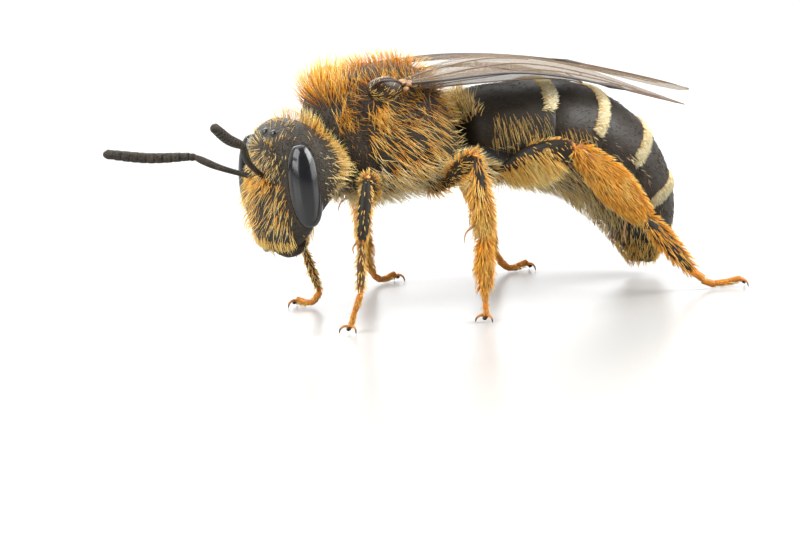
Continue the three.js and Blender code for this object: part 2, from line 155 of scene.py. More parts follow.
# Bare half width of each joint at its start, middle and end.
LEG_SIZES = {
    "front": {"coxa": [0.2, 0.22, 0.14], "femur": [0.12, 0.19, 0.13], "tibia": [0.1, 0.14, 0.13],
              "basitarsus": [0.075, 0.085, 0.075]},
    "middle": {"coxa": [0.22, 0.24, 0.15], "femur": [0.14, 0.21, 0.14], "tibia": [0.11, 0.16, 0.15],
               "basitarsus": [0.1, 0.105, 0.08]},
    "hind": {"coxa": [0.24, 0.27, 0.17], "femur": [0.18, 0.3, 0.24], "tibia": [0.24, 0.37, 0.33],
             "basitarsus": [0.16, 0.18, 0.12]},
}
FLATTENING = {"front": 0.9, "middle": 0.8, "hind": 0.5}
TURNED_SHIN = [-0.4, 0.9, 0.2]  # the right hind leg's broad face is turned back

STYLES = {}  # finished materials by name


# ---------------------------------------------------------------- settings

class BeeSizes(bpy.types.PropertyGroup):
    """Sizes that a user would change."""

    hair_width: FloatProperty(name="Hair width", description="Thickness of a hair at its root", default=0.028 * MM,
                              min=0.0, precision=6, unit="LENGTH")
    hair_share: FloatProperty(name="Hair share", description="Share of the full number of hairs", default=1.0,
                              min=0.01, max=1.0, subtype="FACTOR")
    hair_length: FloatProperty(name="Hair length", description="Length of the coat over its natural length",
                               default=1.0, min=0.2, max=1.2, subtype="FACTOR")
    vein_width: FloatProperty(name="Vein width", description="Thickness of the wing's front vein",
                              default=0.052 * MM, min=0.0, precision=6, unit="LENGTH")
    membrane: FloatProperty(name="Membrane", description="Thickness of a wing", default=0.014 * MM, min=0.0,
                            precision=6, unit="LENGTH")
    feeler_joints: IntProperty(name="Feeler joints", description="Short joints in each feeler's whip", default=10,
                               min=1)


def colour(name, words, value):
    """A colour setting."""
    return FloatVectorProperty(name=name, description=words, default=value, size=3, min=0.0, max=1.0,
                               subtype="COLOR")


class BeeColours(bpy.types.PropertyGroup):
    """Colours that a user would change."""

    shell: colour("Shell", "Black of the hard shell", (0.009, 0.0072, 0.005))
    orange_shell: colour("Orange shell", "Orange of the joints, feet and hind shins", (0.66, 0.23, 0.03))
    eye: colour("Eye", "Black of the eyes", (0.006, 0.006, 0.007))
    wing: colour("Wing", "Smoky brown of the wings", (0.1, 0.068, 0.036))
    vein: colour("Vein", "Dark brown of the wing veins", (0.014, 0.008, 0.006))
    hair_dark: colour("Dark hair", "Brown-black pile of the abdomen", (0.03, 0.018, 0.01))
    hair_rust: colour("Rust hair", "Deepest orange of the coat", (0.5, 0.16, 0.02))
    hair_orange: colour("Orange hair", "Orange of the hind legs", (0.98, 0.43, 0.035))
    hair_gold: colour("Golden hair", "Gold of the face and flanks", (0.95, 0.66, 0.2))
    hair_cream: colour("Cream hair", "Cream of the abdomen's bands", (0.96, 0.88, 0.62))
    floor: colour("Floor", "Near white of the studio floor", (0.38, 0.38, 0.373))


class BeeStudio(bpy.types.PropertyGroup):
    """Camera and light."""

    heading: FloatProperty(name="Heading", description="How far the camera stands ahead of the bee's left side",
                           default=math.radians(28), subtype="ANGLE")
    elevation: FloatProperty(name="Elevation", description="Height of the camera over the bee",
                             default=math.radians(9.5), subtype="ANGLE")
    roll: FloatProperty(name="Roll", description="Turn of the picture", default=math.radians(3.2), subtype="ANGLE")
    distance: FloatProperty(name="Distance", description="From the camera to the bee", default=130 * MM,
                            unit="LENGTH")
    view_width: FloatProperty(name="View width", description="Width of the view at the bee",
                              default=16.667 * MM, unit="LENGTH")
    key: FloatProperty(name="Key light", description="Strength of the light overhead", default=0.185, min=0.0,
                       unit="POWER")
    sky: FloatProperty(name="Sky", description="Strength of the white surround", default=1.0, min=0.0)


# ---------------------------------------------------------------- numbers

def between(rows, t):
    """Rows of numbers read as smooth curves: row t runs from 0 to len(rows) - 1."""
    rows = np.asarray(rows, float)
    last = len(rows) - 1
    t = np.clip(np.asarray(t, float), 0, last)
    i = np.minimum(t.astype(int), last - 1)
    u = (t - i)[:, None]
    before, start, end, after = (rows[np.clip(i + k, 0, last)] for k in (-1, 0, 1, 2))
    rise, fall = (end - before) / 2, (after - start) / 2
    return (start * (1 + 2 * u) * (1 - u) ** 2 + rise * u * (1 - u) ** 2
            + end * u * u * (3 - 2 * u) + fall * u * u * (u - 1))


def unit(v):
    return v / np.maximum(np.linalg.norm(v, axis=-1, keepdims=True), 1e-12)


def ramp(x, low, high):
    """0 below low, 1 above high and smooth between; high may be the smaller."""
    share = np.clip((x - low) / (high - low), 0, 1)
    return share * share * (3 - 2 * share)


def near(points, centre, radii):
    """1 at a centre, falling smoothly to 0 at the given radii."""
    distance = np.linalg.norm((points - np.array(centre)) / np.array(radii), axis=1)
    return 1 - ramp(distance, 0.0, 1.0)


def ripple(points, size, seed):
    """Smooth noise between about -1 and 1, with swells of the given size."""
    rng = np.random.default_rng(seed)
    total = np.zeros(len(points))
    for _ in range(7):
        wave = unit(rng.normal(size=3)) * 2 * math.pi / size * rng.uniform(0.6, 1.5)
        total += np.sin(points @ wave + rng.uniform(0, 2 * math.pi))
    return total / 2.6


def place(points):
    """Drawing millimetres to metres in the frame."""
    return (np.asarray(points, float) + SHIFT) * MM


def turned(points, axis, degrees):
    """Points turned about one of the three axes."""
    matrix = np.array(Matrix.Rotation(math.radians(degrees), 3, axis))
    return np.asarray(points) @ matrix.T


# ---------------------------------------------------------------- shells

class Shell:
    """A closed smooth skin over a row of ovals, each with a centre, an across and an upward direction,
    a half width, and a half height above and below. around runs 0 to 1 round it and along 0 to 1 down it."""

    def __init__(self, rows, power=1.0, relief=None):
        self.rows = np.asarray(rows, float)
        self.power = power
        self.relief = relief
        self.sign = 1.0
        probe = np.array([0.13]), np.array([0.5])
        outward = self.bare(*probe) - between(self.rows[:, :3], probe[1] * (len(self.rows) - 1))
        self.sign = float(np.sign((self.slope(self.bare, *probe)[0] * outward).sum()))

    def bare(self, around, along):
        row = between(self.rows, along * (len(self.rows) - 1))
        angle = 2 * math.pi * around
        across, upward = (np.sign(v) * np.abs(v) ** self.power for v in (np.cos(angle), np.sin(angle)))
        reach = np.where(upward > 0, row[:, 10], row[:, 11])
        return row[:, :3] + row[:, 3:6] * (across * row[:, 9])[:, None] + row[:, 6:9] * (upward * reach)[:, None]

    def slope(self, surface, around, along):
        """Outward normal and the directions round and down the shell."""
        step = 2e-3
        down = surface(around, np.minimum(along + step, 1)) - surface(around, np.maximum(along - step, 0))
        turn = surface(around + step, along) - surface(around - step, along)
        return self.sign * unit(np.cross(turn, down)), unit(turn), unit(down)

    def at(self, around, along):
        points = self.bare(around, along)
        if self.relief is None:
            return points
        normals = self.slope(self.bare, around, along)[0]
        return points + normals * self.relief(points, normals, around, along)[:, None]

    def grid(self, sides, rings):
        """Vertices and faces of the closed shell."""
        around, along = np.meshgrid(np.arange(sides) / sides, np.linspace(0, 1, rings + 1))
        points = self.at(around.ravel(), along.ravel())
        ends = [points[:sides].mean(0), points[-sides:].mean(0)]
        ring = np.arange(sides)
        following = (ring + 1) % sides
        quads = np.concatenate([
            np.stack([r * sides + ring, r * sides + following, (r + 1) * sides + following, (r + 1) * sides + ring], 1)
            for r in range(rings)
        ])
        first, last = len(points), len(points) + 1
        tail = rings * sides
        caps = np.concatenate([
            np.stack([np.full(sides, first), following, ring], 1),
            np.stack([np.full(sides, last), tail + ring, tail + following], 1),
        ])
        return np.vstack([points, ends]), quads, caps


def oval(centre, across, upward, half, above, below):
    return [*centre, *across, *upward, half, above, below]


def head_shell():
    rows = []
    for up, half, face, nape in HEAD:
        middle = (face + nape) / 2
        rows.append(oval([0, middle, up], [1, 0, 0], [0, -1, 0], half, middle - face, nape - middle))

    def relief(points, normals, around, along):
        mirrored = np.abs(points[:, :1]) * [1, 0, 0] + points * [0, 1, 1]
        swell = 0.13 * near(points, [0, -3.15, 2.05], [0.62, 0.7, 0.5])  # the plate over the mouth
        swell += 0.07 * near(points, [0, -3.2, 2.75], [0.42, 0.7, 0.5])  # and the one between it and the feelers
        swell += 0.05 * near(mirrored, [0.25, -3.15, 3.2], [0.2, 0.6, 0.2])  # sockets stand a little proud
        groove = -0.025 * near(mirrored, [0, -3.1, 3.7], [0.06, 0.8, 0.42])  # a fine line down the brow
        hollow = -0.05 * near(mirrored, [0.8, -3.0, 3.2], [0.22, 0.7, 0.9])  # dip beside each eye
        cheek = 0.06 * near(mirrored, [1.15, -2.1, 2.9], [0.5, 0.6, 0.9])
        return swell + groove + hollow + cheek

    return Shell(rows, 0.96, relief)


def thorax_shell():
    widest = 0.42  # height of the widest line, as a share of the whole height
    rows = []
    for aft, half, top, bottom in THORAX:
        middle = bottom + (top - bottom) * widest
        rows.append(oval([0, aft, middle], [1, 0, 0], [0, 0, 1], half, top - middle, middle - bottom))

    def relief(points, normals, around, along):
        mirrored = np.abs(points[:, :1]) * [1, 0, 0] + points * [0, 1, 1]
        back = ramp(points[:, 2], 4.3, 4.9)
        groove = -0.06 * back * np.exp(-((points[:, 1] - 0.3 - 0.12 * points[:, 0] ** 2) / 0.05) ** 2)
        groove -= 0.07 * back * np.exp(-((points[:, 1] - 0.7 - 0.05 * points[:, 0] ** 2) / 0.05) ** 2)
        line = -0.03 * back * np.exp(-((mirrored[:, 0] - 0.62) / 0.04) ** 2) * ramp(-points[:, 1], 0.0, 0.4)
        lobe = 0.12 * near(mirrored, [1.12, -1.42, 4.3], [0.28, 0.3, 0.24])  # rear lobe of the collar
        plate = 0.07 * near(mirrored, [1.3, -0.1, 3.4], [0.6, 0.9, 0.9])  # side plate behind the front leg
        shoulder = 0.24 * near(mirrored, [1.0, -0.72, 4.62], [0.5, 0.6, 0.5])  # carries the wing scale
        seam = -0.05 * np.exp(-((points[:, 1] + 1.05 + 0.3 * (points[:, 2] - 3.4)) / 0.06) ** 2) \
            * ramp(mirrored[:, 0], 0.7, 1.0)
        return groove + line + lobe + plate + shoulder + seam

    return Shell(rows, 0.92, relief)


def abdomen_row(t, inset=0.0):
    aft, up, half, above, below, tilt = between(ABDOMEN, np.array([t]))[0]
    lean = math.radians(tilt)
    return oval([0, aft, up], [1, 0, 0], [0, math.sin(lean), math.cos(lean)], half - inset, above - inset,
                below - inset)


def abdomen_shell():
    return Shell([abdomen_row(t, -0.025) for t in np.linspace(0.15, 7.95, 40)])


def ring_shell(number):
    """One plate ring of the abdomen: tucked under the ring before it and standing over the next."""
    start, end = RING_ENDS[number], RING_ENDS[number + 1]
    tuck, lip, thickness = 0.07, 0.018, 0.07
    span = np.linspace(start - (0.16 if number else 0), end, 16)
    rows = []
    for t in span:
        share = (t - span[0]) / (span[-1] - span[0])
        front = tuck * (1 - float(ramp(share, 0.0, 0.35))) if number else 0.0
        rows.append(abdomen_row(t, front - lip * float(ramp(share, 0.75, 1.0))))
    rows.append(abdomen_row(end + 0.004, 0.3 * thickness))
    rows.append(abdomen_row(end, thickness))
    if number == 0:
        rows.insert(0, abdomen_row(0, 0.25))

    def relief(points, normals, around, along):
        height = np.sin(2 * math.pi * around)
        under = 1 - ramp(height, -0.5, -0.44)  # the belly plates lie a little deeper than the back plates
        return -0.05 * under

    return Shell(rows, 1.0, relief)


def limb_shell(start, end, sizes, flattening=1.0, flat_side=(1, 0, 0), bow=(0, 0, 0), bluntness=0.45, sway=0.0):
    """A rounded joint from start to end. sizes are half widths at its start, middle and end."""
    start, end, flat_side = (np.array(v, float) for v in (start, end, flat_side))
    along = unit(end - start)
    thin = unit(flat_side - along * (flat_side @ along))
    wide = np.cross(thin, along)
    rows = []
    count = 13
    for i in range(count + 1):
        angle = math.pi * (i + 0.04) / (count + 0.08)
        share = (1 - math.cos(angle)) / 2
        half = between([[v] for v in sizes], np.array([share * (len(sizes) - 1)]))[0][0]
        radius = half * math.sin(angle) ** bluntness
        centre = start + (end - start) * share + np.array(bow) * 4 * share * (1 - share)
        rows.append(oval(centre, wide, thin, radius, radius * flattening, radius * flattening))
    return Shell(rows)


def egg(centre, half, sides=32, rings=20, bluntness=1.0):
    """Points and faces of an ellipsoid, or of a fuller one where bluntness is under 1."""
    shell = limb_shell([0, 0, -1], [0, 0, 1], [1, 1, 1], bluntness=bluntness)
    points, quads, caps = shell.grid(sides, rings)
    return points * half + centre, quads, caps


# ---------------------------------------------------------------- meshes

def mesh_object(name, points, quads, triangles=None, values=None, uv=None):
    """An object from drawing points, four-sided and three-sided faces, named values at the points and a map."""
    triangles = np.empty((0, 3), int) if triangles is None else triangles
    mesh = bpy.data.meshes.new(name)
    mesh.vertices.add(len(points))
    mesh.vertices.foreach_set("co", place(points).ravel())
    corners = np.concatenate([quads.ravel(), triangles.ravel()]).astype(np.int32)
    mesh.loops.add(len(corners))
    mesh.loops.foreach_set("vertex_index", corners)
    starts = np.concatenate([np.arange(len(quads)) * 4, len(quads) * 4 + np.arange(len(triangles)) * 3])
    mesh.polygons.add(len(starts))
    mesh.polygons.foreach_set("loop_start", starts.astype(np.int32))
    mesh.polygons.foreach_set("use_smooth", np.ones(len(starts), bool))
    for key, numbers in (values or {}).items():
        layer = mesh.attributes.new(key, "FLOAT", "POINT")
        layer.data.foreach_set("value", np.asarray(numbers, np.float32))
    if uv is not None:
        layer = mesh.uv_layers.new(name="OFBake")
        layer.data.foreach_set("uv", uv[corners].astype(np.float32).ravel())
    mesh.update(calc_edges=True)
    thing = bpy.data.objects.new(name, mesh)
    bpy.context.scene.collection.objects.link(thing)
    return thing


def facing_out(thing):
    """Turns the faces of a closed mesh outwards."""
    cage = bmesh.new()
    cage.from_mesh(thing.data)
    bmesh.ops.remove_doubles(cage, verts=cage.verts, dist=1e-8)
    bmesh.ops.recalc_face_normals(cage, faces=cage.faces)
    cage.to_mesh(thing.data)
    cage.free()
    return thing


def joined(shapes):
    """Several (points, quads, triangles) as one."""
    points, quads, triangles, count = [], [], [], 0
    for p, q, t in shapes:
        points.append(p)
        quads.append(q + count)
        triangles.append(t + count)
        count += len(p)
    return np.vstack(points), np.vstack(quads), np.vstack(triangles)


def finished(thing, look, nodes=()):
    """Gives a piece its material and its place on the body."""
    thing.data.materials.clear()
    thing.data.materials.append(STYLES[look])
    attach(thing, "root")
    if nodes:
        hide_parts(*nodes)
    return thing


def evaluated(thing, name):
    """The object's modified mesh as a plain object, in place of the first."""
    graph = bpy.context.evaluated_depsgraph_get()
    mesh = bpy.data.meshes.new_from_object(thing.evaluated_get(graph))
    mesh.name = name
    thing.modifiers.clear()
    plain = bpy.data.objects.new(name, mesh)
    bpy.context.scene.collection.objects.link(plain)
    bpy.data.objects.remove(thing)
    return plain


# ---------------------------------------------------------------- geometry nodes

def new_tree(name, inputs):
    """A geometry node tree with a geometry in and out and further named inputs."""
    tree = bpy.data.node_groups.new(name, "GeometryNodeTree")
    tree.interface.new_socket("Geometry", in_out="INPUT", socket_type="NodeSocketGeometry")
    for label, kind, value in inputs:
        socket = tree.interface.new_socket(label, in_out="INPUT", socket_type=kind)
        if value is not None:
            socket.default_value = value
    tree.interface.new_socket("Geometry", in_out="OUTPUT", socket_type="NodeSocketGeometry")
    return tree, tree.nodes.new("NodeGroupInput"), tree.nodes.new("NodeGroupOutput")


def tube_tree():
    """Sweeps a round section along every path, as thick as the path's radius, with closed ends."""
    if "Tube along path" in bpy.data.node_groups:
        return bpy.data.node_groups["Tube along path"]
    tree, source, result = new_tree("Tube along path", [("Sides", "NodeSocketInt", 8),
                                                       ("Material", "NodeSocketMaterial", None)])
    section = tree.nodes.new("GeometryNodeCurvePrimitiveCircle")
    section.inputs["Radius"].default_value = 1.0
    sweep = tree.nodes.new("GeometryNodeCurveToMesh")
    sweep.inputs["Fill Caps"].default_value = True
    real = tree.nodes.new("GeometryNodeRealizeInstances")
    smooth = tree.nodes.new("GeometryNodeSetShadeSmooth")
    paint = tree.nodes.new("GeometryNodeSetMaterial")
    link = tree.links.new
    link(source.outputs["Sides"], section.inputs["Resolution"])
    link(source.outputs["Geometry"], sweep.inputs["Curve"])
    link(section.outputs["Curve"], sweep.inputs["Profile Curve"])
    if "Scale" in sweep.inputs:
        radius = tree.nodes.new("GeometryNodeInputRadius")
        link(radius.outputs[0], sweep.inputs["Scale"])
    link(sweep.outputs["Mesh"], smooth.inputs["Geometry"])
    link(smooth.outputs["Geometry"], real.inputs["Geometry"])
    link(real.outputs["Geometry"], paint.inputs["Geometry"])
    link(source.outputs["Material"], paint.inputs["Material"])
    link(paint.outputs["Geometry"], result.inputs["Geometry"])
    return tree


def bead_tree():
    """Stands copies of a bead end to end along a path, turned along it and as thick as its radius."""
    if "Beads along path" in bpy.data.node_groups:
        return bpy.data.node_groups["Beads along path"]
    tree, source, result = new_tree("Beads along path", [("Count", "NodeSocketInt", 10),
                                                        ("Bead", "NodeSocketObject", None),
                                                        ("Bead Length", "NodeSocketFloat", 1.0),
                                                        ("Material", "NodeSocketMaterial", None)])
    spread = tree.nodes.new("GeometryNodeResampleCurve")
    tangent = tree.nodes.new("GeometryNodeInputTangent")
    align = tree.nodes.new("FunctionNodeAlignRotationToVector")
    align.axis = "Z"
    radius = tree.nodes.new("GeometryNodeInputRadius")
    scale = tree.nodes.new("ShaderNodeCombineXYZ")
    shape = tree.nodes.new("GeometryNodeObjectInfo")
    copies = tree.nodes.new("GeometryNodeInstanceOnPoints")
    real = tree.nodes.new("GeometryNodeRealizeInstances")
    paint = tree.nodes.new("GeometryNodeSetMaterial")
    link = tree.links.new
    link(source.outputs["Geometry"], spread.inputs["Curve"])
    link(source.outputs["Count"], spread.inputs["Count"])
    link(tangent.outputs["Tangent"], align.inputs["Vector"])
    link(source.outputs["Bead"], shape.inputs["Object"])
    link(radius.outputs[0], scale.inputs["X"])
    link(radius.outputs[0], scale.inputs["Y"])
    link(source.outputs["Bead Length"], scale.inputs["Z"])
    link(spread.outputs["Curve"], copies.inputs["Points"])
    link(shape.outputs["Geometry"], copies.inputs["Instance"])
    link(align.outputs["Rotation"], copies.inputs["Rotation"])
    link(scale.outputs["Vector"], copies.inputs["Scale"])
    link(copies.outputs["Instances"], real.inputs["Geometry"])
    link(real.outputs["Geometry"], paint.inputs["Geometry"])
    link(source.outputs["Material"], paint.inputs["Material"])
    link(paint.outputs["Geometry"], result.inputs["Geometry"])
    return tree


def path_object(name, paths):
    """A curve object from [(points, radii)] in drawing millimetres."""
    curve = bpy.data.curves.new(name, "CURVE")
    curve.dimensions = "3D"
    for points, radii in paths:
        spline = curve.splines.new("POLY")
        spline.points.add(len(points) - 1)
        for spot, where, radius in zip(spline.points, place(points), radii):
            spot.co = (*where, 1)
            spot.radius = radius * MM
    thing = bpy.data.objects.new(name, curve)
    bpy.context.scene.collection.objects.link(thing)
    return thing


def through_tree(thing, name, tree, values):
    """Runs a node tree on an object, its inputs set by identifier, and keeps the plain mesh."""
    modifier = thing.modifiers.new("Shape", "NODES")
    modifier.node_group = tree
    for item in tree.interface.items_tree:
        if item.in_out == "INPUT" and item.name in values:
            modifier[item.identifier] = values[item.name]
    return evaluated(thing, name)


def smooth_path(points, radii, count):
    """More points and radii on one smooth curve through the given ones."""
    t = np.linspace(0, len(points) - 1, count)
    radii = np.interp(t, np.linspace(0, len(points) - 1, len(radii)), radii)
    return between(points, t), radii


def tubes(name, paths, look, sides=8):
    """One mesh of round tubes along paths."""
    return through_tree(path_object(name + "_path", paths), name, tube_tree(),
                        {"Sides": sides, "Material": STYLES[look]})


def beads(name, points, radii, count, look, length):
    """One mesh of beads along a path."""
    profile = [[0, 0.72], [0.06, 0.9], [0.2, 1.0], [0.8, 1.04], [0.93, 0.96], [1.0, 0.74]]
    rows = [oval([0, 0, z - 0.5], [1, 0, 0], [0, 1, 0], r, r, r) for z, r in profile]
    rows = [oval([0, 0, -0.5], [1, 0, 0], [0, 1, 0], 0.02, 0.02, 0.02)] + rows
    rows.append(oval([0, 0, 0.5], [1, 0, 0], [0, 1, 0], 0.02, 0.02, 0.02))
    p, quads, caps = Shell(rows).grid(20, 18)
    bead = facing_out(mesh_object(name + "_bead", p / MM - SHIFT, quads, caps))
    made = through_tree(path_object(name + "_path", [(points, radii)]), name, bead_tree(),
                        {"Count": count, "Bead": bead, "Bead Length": length * MM, "Material": STYLES[look]})
    bpy.data.objects.remove(bead)
    return made


# ---------------------------------------------------------------- hair

class Roots:
    """Places on a shell where hairs grow, thicker where the given density is larger."""

    def __init__(self, shell, count, seed, density):
        sizes = bpy.context.scene.bee_sizes
        rng = np.random.default_rng(seed)
        count = max(1, int(count * sizes.hair_share))
        around_cells, along_cells = 140, 180
        around, along = np.meshgrid((np.arange(around_cells) + 0.5) / around_cells,
                                    (np.arange(along_cells) + 0.5) / along_cells)
        around, along = around.ravel(), along.ravel()
        points = shell.at(around, along)
        turn = shell.at(around + 0.5 / around_cells, along) - shell.at(around - 0.5 / around_cells, along)
        down = shell.at(around, along + 0.5 / along_cells) - shell.at(around, along - 0.5 / along_cells)
        normals = shell.slope(shell.at, around, along)[0]
        weight = np.linalg.norm(np.cross(turn, down), axis=1) * np.maximum(density(points, normals, around, along), 0)
        cell = rng.choice(len(weight), count, p=weight / weight.sum())
        self.around = around[cell] + (rng.random(count) - 0.5) / around_cells
        self.along = np.clip(along[cell] + (rng.random(count) - 0.5) / along_cells, 0, 1)
        self.points = shell.at(self.around, self.along)
        self.normals, self.turn, self.down = shell.slope(shell.at, self.around, self.along)
        self.rng = rng
        self.count = count

    def lying(self, direction):
        """A wished direction laid flat on the shell."""
        wished = np.broadcast_to(np.asarray(direction, float), self.points.shape)
        flat = wished - self.normals * (wished * self.normals).sum(1, keepdims=True)
        return unit(flat + 1e-6 * self.down)

    def jitter(self, low, high):
        return self.rng.uniform(low, high, self.count)


FLOOR_GAP = 0.006  # mm that the lowest hairs keep off the floor


def strands(roots, lie, length, lift, droop, tone, width=1.0, wander=0.25, steps=3, patch=(0, 0, 1, 1), root_shade=0.0,
            loose=1.0):
    """Tapered three-sided hairs. lift is the angle off the shell at the root, in degrees, droop the share of
    it lost towards the tip, tone the place in the coat's colours, patch the part of the map they use, the next
    argument how much deeper the tone is painted at the root, as painted shade deep in the coat, and loose how
    far single hairs stray from the lie."""
    sizes = bpy.context.scene.bee_sizes
    rng, count = roots.rng, roots.count
    length = np.broadcast_to(length, count) * sizes.hair_length * rng.uniform(0.78, 1.12, count)
    lift = np.radians(np.broadcast_to(lift, count) + loose * rng.normal(0, 7, count))
    side = np.cross(roots.normals, lie)
    swing = rng.normal(0, wander, count) + 0.3 * wander * ripple(roots.points, 0.5, 11)
    lie = unit(lie + side * swing[:, None])
    side = np.cross(roots.normals, lie)
    curl = loose * rng.normal(0, 0.22, count)
    half = np.broadcast_to(width, count) * sizes.hair_width / MM / 2 * rng.uniform(0.75, 1.15, count)
    sides = 3
    spot = roots.points - roots.normals * 0.02
    rings, share = [], []
    heading = None
    for k in range(steps + 1):
        s = k / steps
        angle = lift * (1 - droop * s)
        heading = unit(roots.normals * np.sin(angle)[:, None] + lie * np.cos(angle)[:, None]
                       + side * (curl * s)[:, None])
        if k == steps:
            rings.append(spot[:, None, :])
            share.append(np.full((count, 1), 1.0))
            break
        thick = half * (1 - s) ** 0.55
        upward = unit(np.cross(side, heading))
        for j in range(sides):
            turn = 2 * math.pi * j / sides
            offset = side * (math.cos(turn) * thick)[:, None] + upward * (math.sin(turn) * thick)[:, None]
            rings.append((spot + offset)[:, None, :])
            share.append(np.full((count, 1), s))
        spot = spot + heading * (length / steps)[:, None]
    points = np.concatenate(rings, axis=1)
    share = np.concatenate(share, axis=1)
    sunk = np.minimum(points[:, :, 2].min(axis=1) - FLOOR_GAP, 0)
    points[:, :, 2] -= sunk[:, None] * share
    size = points.shape[1]
    base = (np.arange(count) * size)[:, None, None]
    quad = np.array([[k * sides + j, k * sides + (j + 1) % sides, (k + 1) * sides + (j + 1) % sides,
                      (k + 1) * sides + j] for k in range(steps - 1) for j in range(sides)])
    tip = np.array([[(steps - 1) * sides + j, (steps - 1) * sides + (j + 1) % sides, steps * sides]
                    for j in range(sides)])
    tone = np.broadcast_to(tone, count) + rng.normal(0, 0.035, count)
    shade = rng.uniform(0, 1, count)
    u0, v0, u1, v1 = patch
    root_u = u0 + (u1 - u0) * (0.01 + 0.98 * (roots.around % 1))
    root_v = v0 + (v1 - v0) * (0.01 + 0.98 * roots.along)
    corner = np.arange(size) % sides
    across = 0.0012 * np.cos(2 * math.pi * corner / sides)
    up = 0.0013 * (2 * share[0] - 1)
    uv = np.stack([root_u[:, None] + across[None, :], root_v[:, None] + up[None, :]], axis=2)
    # The tone is lowered towards the root by the given share: painted shade deep in the coat.
    return {
        "points": points.reshape(-1, 3), "quads": (quad[None] + base).reshape(-1, 4),
        "triangles": (tip[None] + base).reshape(-1, 3), "uv": uv.reshape(-1, 2),
        "tone": np.repeat(tone, size) - root_shade * (1 - share.ravel()), "shade": np.repeat(shade, size),
        "reach": share.ravel(),
    }


def coat_object(name, groups, look="hair"):
    """One piece from several groups of hairs."""
    count = 0
    quads, triangles = [], []
    for group in groups:
        quads.append(group["quads"] + count)
        triangles.append(group["triangles"] + count)
        count += len(group["points"])
    stacked = {key: np.concatenate([g[key] for g in groups]) for key in ("points", "uv", "tone", "shade", "reach")}
    thing = mesh_object(name, stacked["points"], np.vstack(quads), np.vstack(triangles),
                        {key: stacked[key] for key in ("tone", "shade", "reach")}, stacked["uv"])
    return finished(thing, look)


# ---------------------------------------------------------------- finishes

def new_group(name, inputs, outputs):
    """A shader node group with named inputs and outputs."""
    tree = bpy.data.node_groups.new(name, "ShaderNodeTree")
    for label, value in inputs:
        tree.interface.new_socket(label, in_out="INPUT", socket_type="NodeSocketFloat").default_value = value
    for label in outputs:
        tree.interface.new_socket(label, in_out="OUTPUT", socket_type="NodeSocketFloat")
    return tree, tree.nodes.new("NodeGroupInput"), tree.nodes.new("NodeGroupOutput")


def pits_group():
    """Fine pits and grain of the hard shell: a height, and a mask of the pits."""
    if "Pits" in bpy.data.node_groups:
        return bpy.data.node_groups["Pits"]
    tree, source, result = new_group("Pits", [("Pit Scale", 22000.0), ("Pit Size", 0.35), ("Grain", 0.3)],
                                     ["Height", "Pit"])
    link = tree.links.new
    where = tree.nodes.new("ShaderNodeTexCoord")
    cells = tree.nodes.new("ShaderNodeTexVoronoi")
    link(where.outputs["Object"], cells.inputs["Vector"])
    link(source.outputs["Pit Scale"], cells.inputs["Scale"])
    cup = tree.nodes.new("ShaderNodeMapRange")
    cup.interpolation_type = "SMOOTHSTEP"
    cup.inputs["From Min"].default_value = 0.0
    link(source.outputs["Pit Size"], cup.inputs["From Max"])
    link(cells.outputs["Distance"], cup.inputs["Value"])
    grain = tree.nodes.new("ShaderNodeTexNoise")
    grain.inputs["Scale"].default_value = 60000.0
    grain.inputs["Detail"].default_value = 2.0
    link(where.outputs["Object"], grain.inputs["Vector"])
    share = tree.nodes.new("ShaderNodeMath")
    share.operation = "MULTIPLY_ADD"
    link(grain.outputs["Fac"], share.inputs[0])
    link(source.outputs["Grain"], share.inputs[1])
    link(cup.outputs["Result"], share.inputs[2])
    flip = tree.nodes.new("ShaderNodeMath")
    flip.operation = "SUBTRACT"
    flip.inputs[0].default_value = 1.0
    link(cup.outputs["Result"], flip.inputs[1])
    link(share.outputs["Value"], result.inputs["Height"])
    link(flip.outputs["Value"], result.inputs["Pit"])
    return tree


def new_style(name):
    """A material with its Principled node, its nodes and its links."""
    material = bpy.data.materials.new(name)
    material.use_nodes = True
    STYLES[name] = material
    tree = material.node_tree
    return tree.nodes["Principled BSDF"], tree.nodes, tree.links.new


def numbers(nodes, key):
    """A number that the piece's own points carry."""
    node = nodes.new("ShaderNodeAttribute")
    node.attribute_name = key
    return node.outputs["Fac"]


def mixed(nodes, link, factor, first, second, blend="MIX"):
    """A colour mix; each of its three may be a socket or a plain value."""
    node = nodes.new("ShaderNodeMix")
    node.data_type = "RGBA"
    node.blend_type = blend
    for socket, value in ((node.inputs[0], factor), (node.inputs[6], first), (node.inputs[7], second)):
        if isinstance(value, bpy.types.NodeSocket):
            link(value, socket)
        elif isinstance(value, (int, float)):
            socket.default_value = value
        else:
            socket.default_value = (*value, 1.0)
    return node.outputs[2]


def roughened(nodes, link, shader, low, high, scale):
    """Roughness that wanders between two values."""
    where = nodes.new("ShaderNodeTexCoord")
    cloud = nodes.new("ShaderNodeTexNoise")
    cloud.inputs["Scale"].default_value = scale
    cloud.inputs["Detail"].default_value = 3.0
    span = nodes.new("ShaderNodeMapRange")
    span.inputs["From Min"].default_value = 0.3
    span.inputs["From Max"].default_value = 0.7
    span.inputs["To Min"].default_value = low
    span.inputs["To Max"].default_value = high
    link(where.outputs["Object"], cloud.inputs["Vector"])
    link(cloud.outputs["Fac"], span.inputs["Value"])
    link(span.outputs["Result"], shader.inputs["Roughness"])
    return cloud.outputs["Fac"]


def bumped(nodes, link, shader, height, depth, strength=1.0):
    bump = nodes.new("ShaderNodeBump")
    bump.inputs["Distance"].default_value = depth
    bump.inputs["Strength"].default_value = strength
    link(height, bump.inputs["Height"])
    link(bump.outputs["Normal"], shader.inputs["Normal"])


